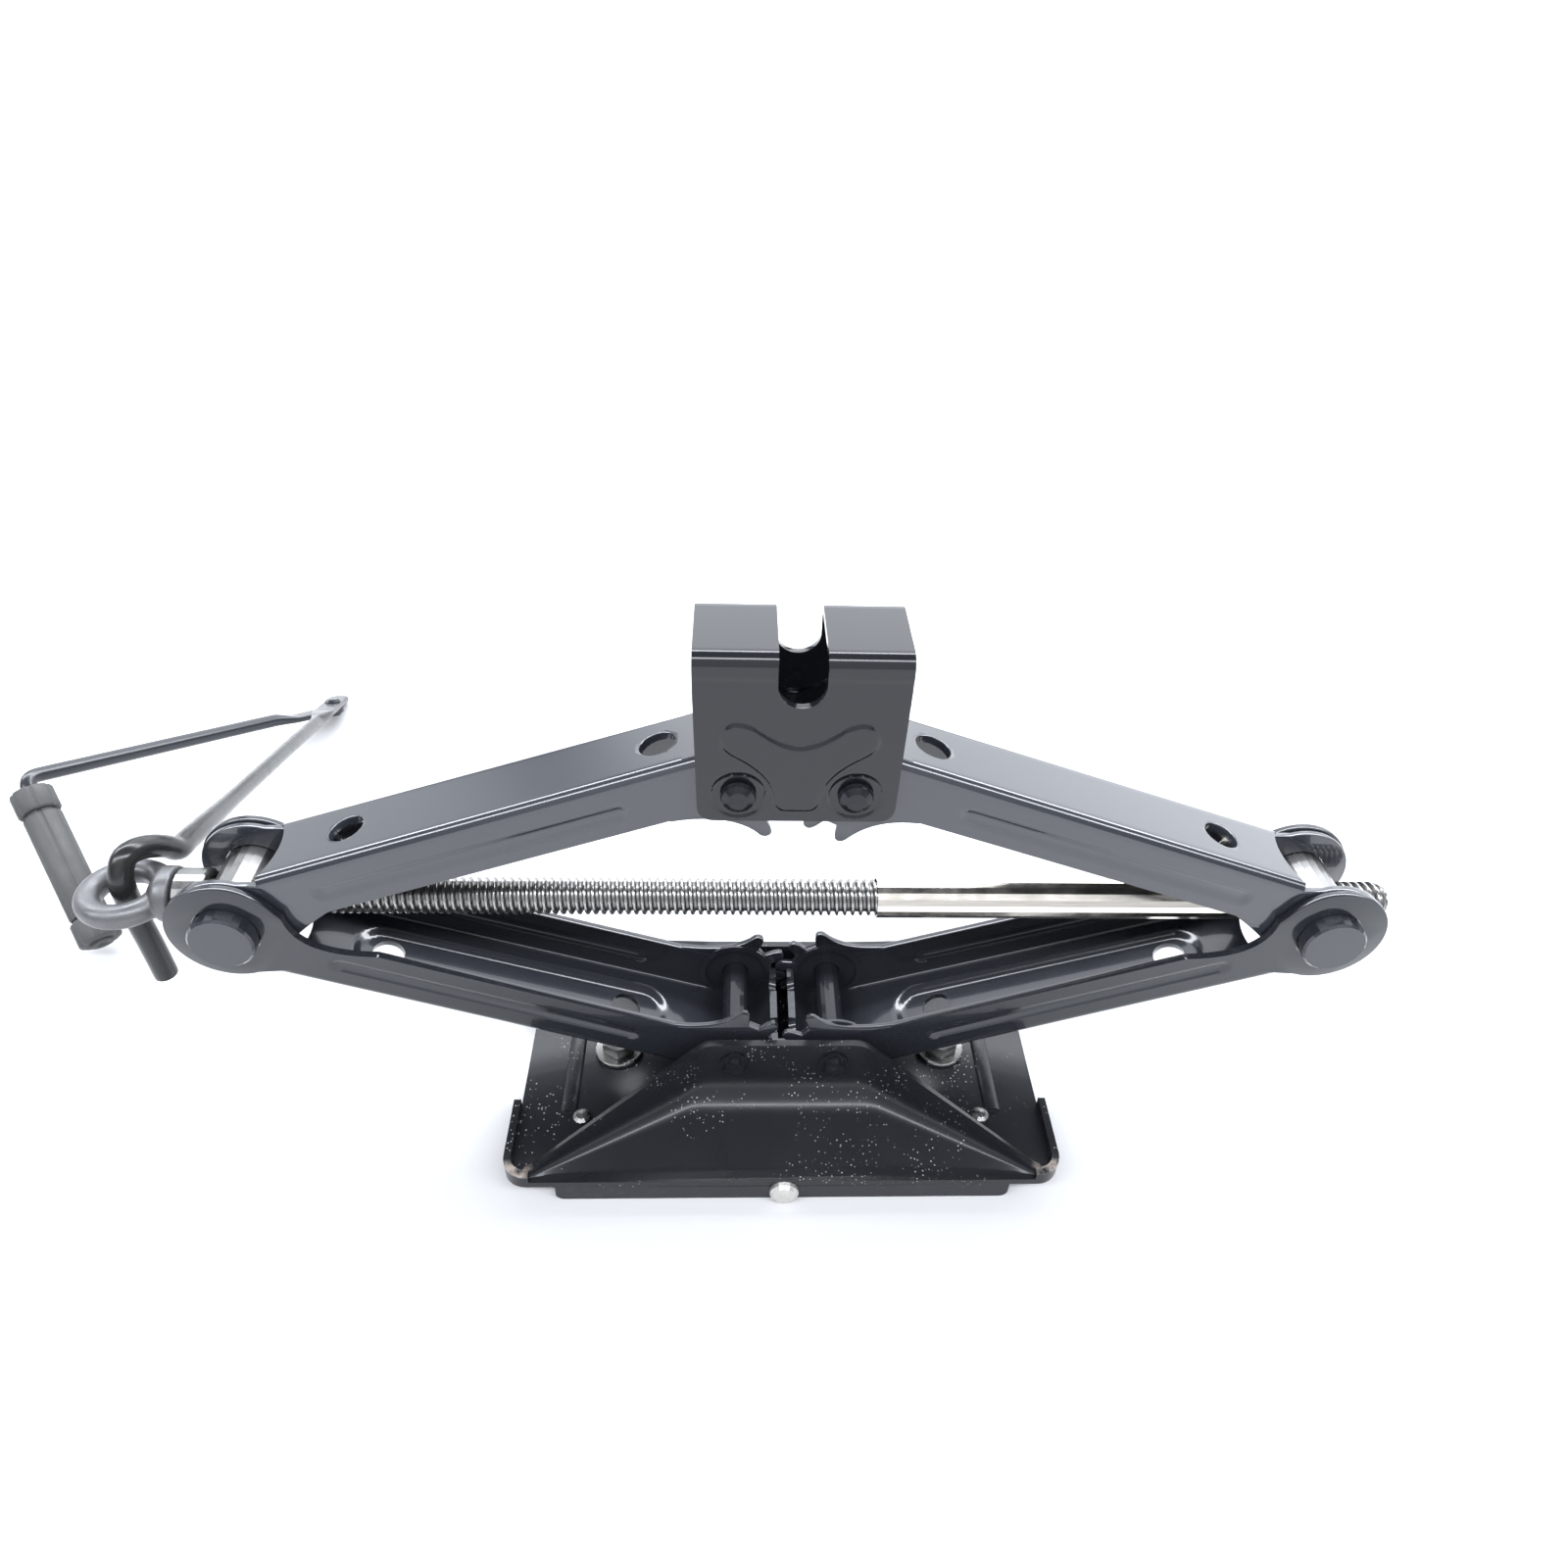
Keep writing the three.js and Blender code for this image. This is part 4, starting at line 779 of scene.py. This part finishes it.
def base_pan():
    """Floor, two folded walls, four corner rims, two beads, and the holes through them."""
    body = prism("base_pressing", pan_outline(0), FLOOR_Z, FLOOR_Z + FLOOR_THICK, "z")
    front, back = wall(), wall()
    for vertex in back.data.vertices:
        vertex.co.x, vertex.co.y = -vertex.co.x, -vertex.co.y
    edge = PAN_Y + 0.2
    keep = prism("keep", [(-120, -edge), (120, -edge), (120, edge), (-120, edge)], FLOOR_Z, 80, "z")
    combine(front, back, "UNION")
    combine(front, keep, "INTERSECT")
    combine(body, front, "UNION")
    for sx in (-1, 1):
        for sy in (-1, 1):
            rim = prism("rim", pan_outline(0), FLOOR_Z, RIM_TOP, "z")
            combine(rim, prism("in", pan_outline(SHEET), FLOOR_Z - 1, 17, "z"), "DIFFERENCE")
            near, far = (sx * 97, sy * (RIM_Y - 0.1)), (sx * 110, sy * 70)
            box = [near, (far[0], near[1]), far, (near[0], far[1])]
            combine(rim, prism("box", box, 0, 40, "z"), "INTERSECT")
            combine(body, rim, "UNION")
        bead = [(sx * BEAD_X + 3.4 * math.cos(a), FLOOR_Z + FLOOR_THICK - 0.2 + 1.7 * math.sin(a))
                for a in (math.pi * i / 14 for i in range(15))]
        combine(body, prism("bead", bead, -31, 31), "UNION")
    cutters = []
    for side in (-1, 1):
        cutters.append(prism("pin", disc(5.0, 32, (side * PIN_X, SCREW_Z - RISE)), -FAR, FAR))
        cutters.append(prism("bolt", disc(4.3, 32, (side * BOLT_X, 0)), 0, 20, "z"))
        for far in (-1, 1):
            rivet = disc(2.3, 20, (side * RIVET_X, far * RIVET_Y))
            cutters.append(prism("rivet", rivet, 0, 20, "z"))
    for cutter in cutters:
        combine(body, cutter, "DIFFERENCE")
    own(body, "paint_base", "base", "base_pan", angle=28)


# ---- handle -------------------------------------------------------------------------------------------
def curve_through(points, step):
    """Smooth line through points, sampled about every step."""
    points = [Vector(p) for p in points]
    points = [points[0] * 2 - points[1]] + points + [points[-1] * 2 - points[-2]]
    line = []
    for a, b, c, d in zip(points, points[1:], points[2:], points[3:]):
        count = max(round((c - b).length / step), 1)
        for i in range(count):
            t = i / count
            line.append(0.5 * (2 * b + (c - a) * t + (2 * a - 5 * b + 4 * c - d) * t * t
                               + (3 * b - 3 * c + d - a) * t ** 3))
    return line + [points[-2]]


def sweep(name, stations, up, sides=32):
    """Tube through (centre, half width, half height, squareness); up is its upper side at the far end."""
    centres = [s[0] for s in stations]
    rows, last = [], Vector(up)
    for k in range(len(centres) - 1, -1, -1):
        way = (centres[min(k + 1, len(centres) - 1)] - centres[max(k - 1, 0)]).normalized()
        last = (last - way * last.dot(way)).normalized()
        across = last.cross(way)
        _, wide, high, power = stations[k]
        row = []
        for i in range(sides):
            c, s = math.cos(math.tau * i / sides), math.sin(math.tau * i / sides)
            row.append(tuple(centres[k] + across * wide * math.copysign(abs(c) ** power, c)
                             + last * high * math.copysign(abs(s) ** power, s)))
        rows.insert(0, row)
    return skin(name, rows)


# the same points as in the CAD: line of the hook, fold rivet, corner of the crank, end of the grip
HOOK = [(-241.4, 0, 57.8), (-242, 0, 74), (-243, 0, 92), (-243, 0, 105.4), (-242.6, 1.4, 110.6),
        (-241.2, 5, 114.8), (-238.8, 10, 114.4), (-236.4, 15, 111.4), (-234.5, 19.5, 107.2),
        (-233.2, 23.5, 102.6)]
FOLD, CORNER, GRIP_END = Vector((-262, 259.5, 7.6)), Vector((-354, 120, 60.5)), Vector((-310, 63, 10.2))
HOOK_RADIUS, ROD_RADIUS, TAB_HALF, TAB_THICK = 4.4, 3.5, 5.8, 3.0
TAB_START, SHANK_TIP = -42, 19.8        # along a rod, from the fold rivet
SHANK_WAY = (FOLD - Vector(HOOK[-1])).normalized()
CRANK_WAY = (CORNER - FOLD).normalized()
GRIP_WAY = (GRIP_END - CORNER).normalized()
FOLD_AXIS = CRANK_WAY.cross(SHANK_WAY).normalized()


def flat_end(way, beyond, side):
    """Stations of a rod that is hammered flat round the fold rivet."""
    stations = []
    full = TAB_START + 18
    for along in spread(TAB_START, full, 1.5):
        t = smooth_step(along, TAB_START, full)
        stations.append((along, ROD_RADIUS + (TAB_HALF - ROD_RADIUS) * t,
                         ROD_RADIUS + (TAB_THICK / 2 - ROD_RADIUS) * t, 1 - 0.75 * t))
    round_from = beyond - TAB_HALF
    rounding = [beyond - TAB_HALF * (1 - math.sin(math.pi / 2 * i / 8)) for i in range(1, 9)]
    for along in spread(full + 2, round_from, 3) + rounding:
        over = max(along - round_from, 0.0)
        wide = math.sqrt(max(TAB_HALF ** 2 - over ** 2, 0.3))
        stations.append((along, wide, TAB_THICK / 2, 0.25))
    lift = FOLD_AXIS * side * (TAB_THICK + GAP) / 2
    return [(FOLD + way * along + lift * smooth_step(along, TAB_START, TAB_START + 16), wide, high, power)
            for along, wide, high, power in stations]


def round_rod(points, radius=ROD_RADIUS):
    return [(point, radius, radius, 1.0) for point in points]


def handle_shank():
    """Hook, thinning rod and flat end, in one sweep."""
    bend = curve_through(HOOK + [tuple(Vector(HOOK[-1]) + SHANK_WAY * 10)], 1.6)
    stations = round_rod(bend[:1], HOOK_RADIUS - 0.9)
    stations += round_rod([bend[0] + (bend[1] - bend[0]) * 0.4], HOOK_RADIUS - 0.1)
    stations += round_rod(bend[1:], HOOK_RADIUS)
    run = (FOLD - bend[-1]).length
    for along in spread(4, run + TAB_START - 2, 6):
        radius = HOOK_RADIUS + (ROD_RADIUS - HOOK_RADIUS) * smooth_step(along, 2, 60)
        stations += round_rod([bend[-1] + SHANK_WAY * along], radius)
    stations += flat_end(SHANK_WAY, SHANK_TIP, -1)
    own(sweep("hook_rod", stations, FOLD_AXIS), "rod_shank", "shank", "handle_shank", angle=40)


def handle_crank():
    """Flat end, straight rod, right-angle bend and the leg inside the grip, in one sweep."""
    corner = [CORNER - CRANK_WAY * 7, CORNER, CORNER + GRIP_WAY * 7]
    start, end = FOLD + CRANK_WAY * (2 - TAB_START), corner[0]
    stations = flat_end(-CRANK_WAY, TAB_HALF, 1)[::-1]
    stations += round_rod([start + (end - start) * (i / 12) for i in range(13)])
    stations += round_rod([Vector(p) for p in bezier(*corner, 10)])
    stations += round_rod([corner[2] + (GRIP_END - corner[2]) * t for t in (0.3, 0.7, 1.0)])
    stations += round_rod([GRIP_END + GRIP_WAY * 1.5], ROD_RADIUS - 0.7)
    own(sweep("crank_rod", stations[::-1], FOLD_AXIS), "rod_black", "crank", "handle_crank", angle=40)


def handle_grip():
    """Ribbed barrel between two collars, a dark groove beside each."""
    start, collar, barrel, wide = 7.5, 12.0, 8.2, 9.1
    length = (GRIP_END - CORNER).length - start
    side = GRIP_WAY.orthogonal().normalized()
    other = GRIP_WAY.cross(side)
    profile = [(0, 4.2), (0, wide - 1.2), (0.4, wide - 0.4), (1.2, wide), (collar - 0.9, wide),
               (collar - 0.2, wide - 0.5), (collar, wide - 1.0), (collar + 0.1, barrel - 1.4),
               (collar + 1.3, barrel - 1.4), (collar + 1.5, barrel - 0.5), (collar + 2.3, barrel)]
    profile += [(length - along, radius) for along, radius in reversed(profile[1:])]
    profile += [(length, 4.9), (length + 1.2, 4.9), (length + 1.5, 4.6), (length + 1.5, 3.9)]
    rows, sides, grooves, deep = [], 120, 6, 0.75
    for along, radius in profile:
        row = []
        for i in range(sides):
            angle = math.tau * i / sides
            off = abs((angle * grooves / math.tau) % 1.0 - 0.5) * math.tau / grooves * radius
            r = radius - (deep * (1 - smooth_step(off, 0.35, 1.25)) if radius > 6 else 0.0)
            spoke = side * r * math.cos(angle) + other * r * math.sin(angle)
            row.append(tuple(CORNER + GRIP_WAY * (start + along) + spoke))
        rows.append(row)
    own(skin("grip_sleeve", rows), "grip", "grip", "handle_grip", angle=40)


# ---- forged eye ---------------------------------------------------------------------------------------
def screw_eye():
    """Ring, neck and collar blended as one forging."""
    centre, major, minor, squash = Vector((-242.9, 0, SCREW_Z)), 12.8, 4.7, 0.96
    rows = []
    for k in range(64):
        turn = math.tau * k / 64
        row = []
        for out, up in disc(minor, 32):
            point = Vector((math.cos(turn) * (major + out), math.sin(turn) * squash * (major + out), up))
            row.append(tuple(centre + point))
        rows.append(row)
    body = skin("eye_forging", rows + [rows[0]], caps=False)
    work = bmesh.new()
    work.from_mesh(body.data)
    bmesh.ops.remove_doubles(work, verts=work.verts, dist=1e-6)
    work.to_mesh(body.data)
    work.free()
    outward(body)
    neck = [(0.1, -233.7), (4.4, -233.7), (6.9, -231.5), (9.0, -230.2), (10.0, -229.4),
            (10.5, -228.2), (10.5, -224.4), (9.7, -223.7), (0.1, -223.7)]
    combine(body, lathe("neck", neck, "x", (0, 0, SCREW_Z)), "UNION")
    remesh = body.modifiers.new("weld", "REMESH")
    remesh.mode = "VOXEL"
    remesh.voxel_size = 0.42 * MM
    smooth = body.modifiers.new("soft", "SMOOTH")
    smooth.factor = 0.5
    smooth.iterations = 7
    settle(body)
    own(body, "forged", "screw", "screw_eye", angle=60)


# ---- finishes of the CAD pieces -------------------------------------------------------------------
# look and width of the broken edges of the nodes that stay
CAD_LOOKS = [
    ("paint_plate", 0.5, ["mounting_plate"]),
    ("nickel", 0.3, ["plate_button"]),
    ("zinc", 0.3, ["base_bolt_left", "base_bolt_right", "thrust_sleeve"]),
    ("zinc", 0.2, ["base_washer_left", "base_washer_right", "plate_rivet_left_front",
                   "plate_rivet_left_back", "plate_rivet_right_front", "plate_rivet_right_back"]),
    ("paint_pin", 0.3, ["base_pin_left", "base_pin_right", "saddle_pin_left", "saddle_pin_right"]),
    ("trunnion", 0.4, ["trunnion_left", "trunnion_right"]),
    ("bar_steel", 0.2, ["bearing_race_outer", "bearing_race_inner"]),
    ("bar_steel", 0.1, ["bearing_balls"]),
    ("tube_steel", 0.2, ["stop_sleeve"]),
    ("rod_black", 0.3, ["fold_rivet"]),
]
build_arms()
lead_screw()
saddle()
base_pan()
handle_shank()
handle_crank()
handle_grip()
screw_eye()
for look, edge_width, names in CAD_LOOKS:
    for node_name in names:
        dress(NODES[node_name], look)
        soften(NODES[node_name], edge_width)


# ---- stage ------------------------------------------------------------------------------------------
SKY_COLOUR = (0.945, 0.98, 1.04, 1)
SKY_BASE = 0.3
BACKDROP = 1.15                 # what the camera sees behind the floor: even and pale
# soft windows: direction, cosine where it starts, cosine where it is full, brightness
SKY_WINDOWS = [((0.0, 0.82, 0.57), 0.84, 0.94, 2.9), ((-0.75, 0.6, 0.3), 0.93, 0.98, 1.2),
               ((0.66, 0.66, 0.36), 0.88, 0.97, 2.4), ((0.0, -0.87, 0.5), 0.72, 0.95, 0.75)]
# tube lamps above, parallel to the screw: elevation from the back in degrees, half width, brightness
SKY_TUBES = [(61, 0.05, 19.0), (120, 0.05, 16.0)]
FLOOR_HALF, FLOOR_DROP = 30.0, 0.0004           # in metres


class Sky(Tree):
    """The world's light, made from the direction that is looked in."""

    def facing(self, direction):
        """Cosine of the angle to a direction."""
        looked = self.node("ShaderNodeTexCoord").outputs["Generated"]
        sockets = {0: looked, 1: Vector(direction).normalized()}
        return self.node("ShaderNodeVectorMath", sockets, operation="DOT_PRODUCT").outputs["Value"]

    def fade(self, value, low, high, full):
        """0 below low, full above high, and smooth between."""
        sockets = {"Value": value, "From Min": low, "From Max": high, "To Max": full}
        return self.node("ShaderNodeMapRange", sockets, interpolation_type="SMOOTHSTEP").outputs["Result"]


def floor():
    mesh = bpy.data.meshes.new("floor")
    half = FLOOR_HALF
    mesh.from_pydata([(-half, -half, 0), (half, -half, 0), (half, half, 0), (-half, half, 0)], [],
                     [(0, 1, 2, 3)])
    obj = bpy.data.objects.new("floor", mesh)
    obj.location.z = -FLOOR_DROP
    bpy.context.scene.collection.objects.link(obj)
    s = Shader("floor_white")
    s.set(Base_Color=s.mix(s.noise(3, 2), grey(0.60), grey(0.62)), Roughness=0.9, Specular_IOR_Level=0.0)
    mesh.materials.append(s.material)


def sky():
    """Dim all round, with soft windows and two tube lamps; the camera itself sees an even backdrop."""
    world = bpy.data.worlds.new("studio")
    bpy.context.scene.world = world
    w = Sky(world)
    total = SKY_BASE
    for direction, low, high, bright in SKY_WINDOWS:
        total = w.maths("ADD", total, w.fade(w.facing(direction), low, high, bright))
    # the lamps end above the horizon and before the far left and right
    sideways = w.maths("ABSOLUTE", w.facing((1, 0, 0)))
    above = w.fade(w.facing((0, 0, 1)), 0.05, 0.2, 1.0)
    lit = w.maths("MAXIMUM", w.maths("SUBTRACT", above, w.fade(sideways, 0.72, 0.92, 1.0)), 0.0)
    for elevation, half, bright in SKY_TUBES:
        angle = math.radians(elevation)
        off = w.maths("ABSOLUTE", w.facing((0, -math.sin(angle), math.cos(angle))))
        tube = w.fade(w.maths("SUBTRACT", 1.0, off), 1 - 2 * half, 1 - half, bright)
        total = w.maths("ADD", total, w.maths("MULTIPLY", tube, lit))
    seen = w.node("ShaderNodeLightPath").outputs["Is Camera Ray"]
    unseen = w.maths("MULTIPLY", total, w.maths("SUBTRACT", 1.0, seen))
    total = w.maths("ADD", unseen, w.maths("MULTIPLY", seen, BACKDROP))
    background = w.tree.nodes["Background"]
    w.feed(background.inputs["Color"], SKY_COLOUR)
    w.feed(background.inputs["Strength"], total)


def camera():
    """At the photograph's angle, with no shift; right and up are the picture's own axes."""
    data = bpy.data.cameras.new("view")
    data.sensor_width = 36
    data.lens = 25.42
    data.clip_start = 0.01
    cam = bpy.data.objects.new("view", data)
    bpy.context.scene.collection.objects.link(cam)
    right = Vector((0.9989, -0.0301, 0.0357)).normalized()
    up = Vector((-0.0095, 0.6171, 0.7869)).normalized()
    back = right.cross(up)
    axes = Matrix((right, up, back)).transposed()
    cam.matrix_world = Matrix.Translation((-0.0210, -0.3016, 0.3916)) @ axes.to_4x4()
    bpy.context.scene.camera = cam


floor()
sky()
camera()
bpy.context.scene.view_settings.view_transform = "Standard"
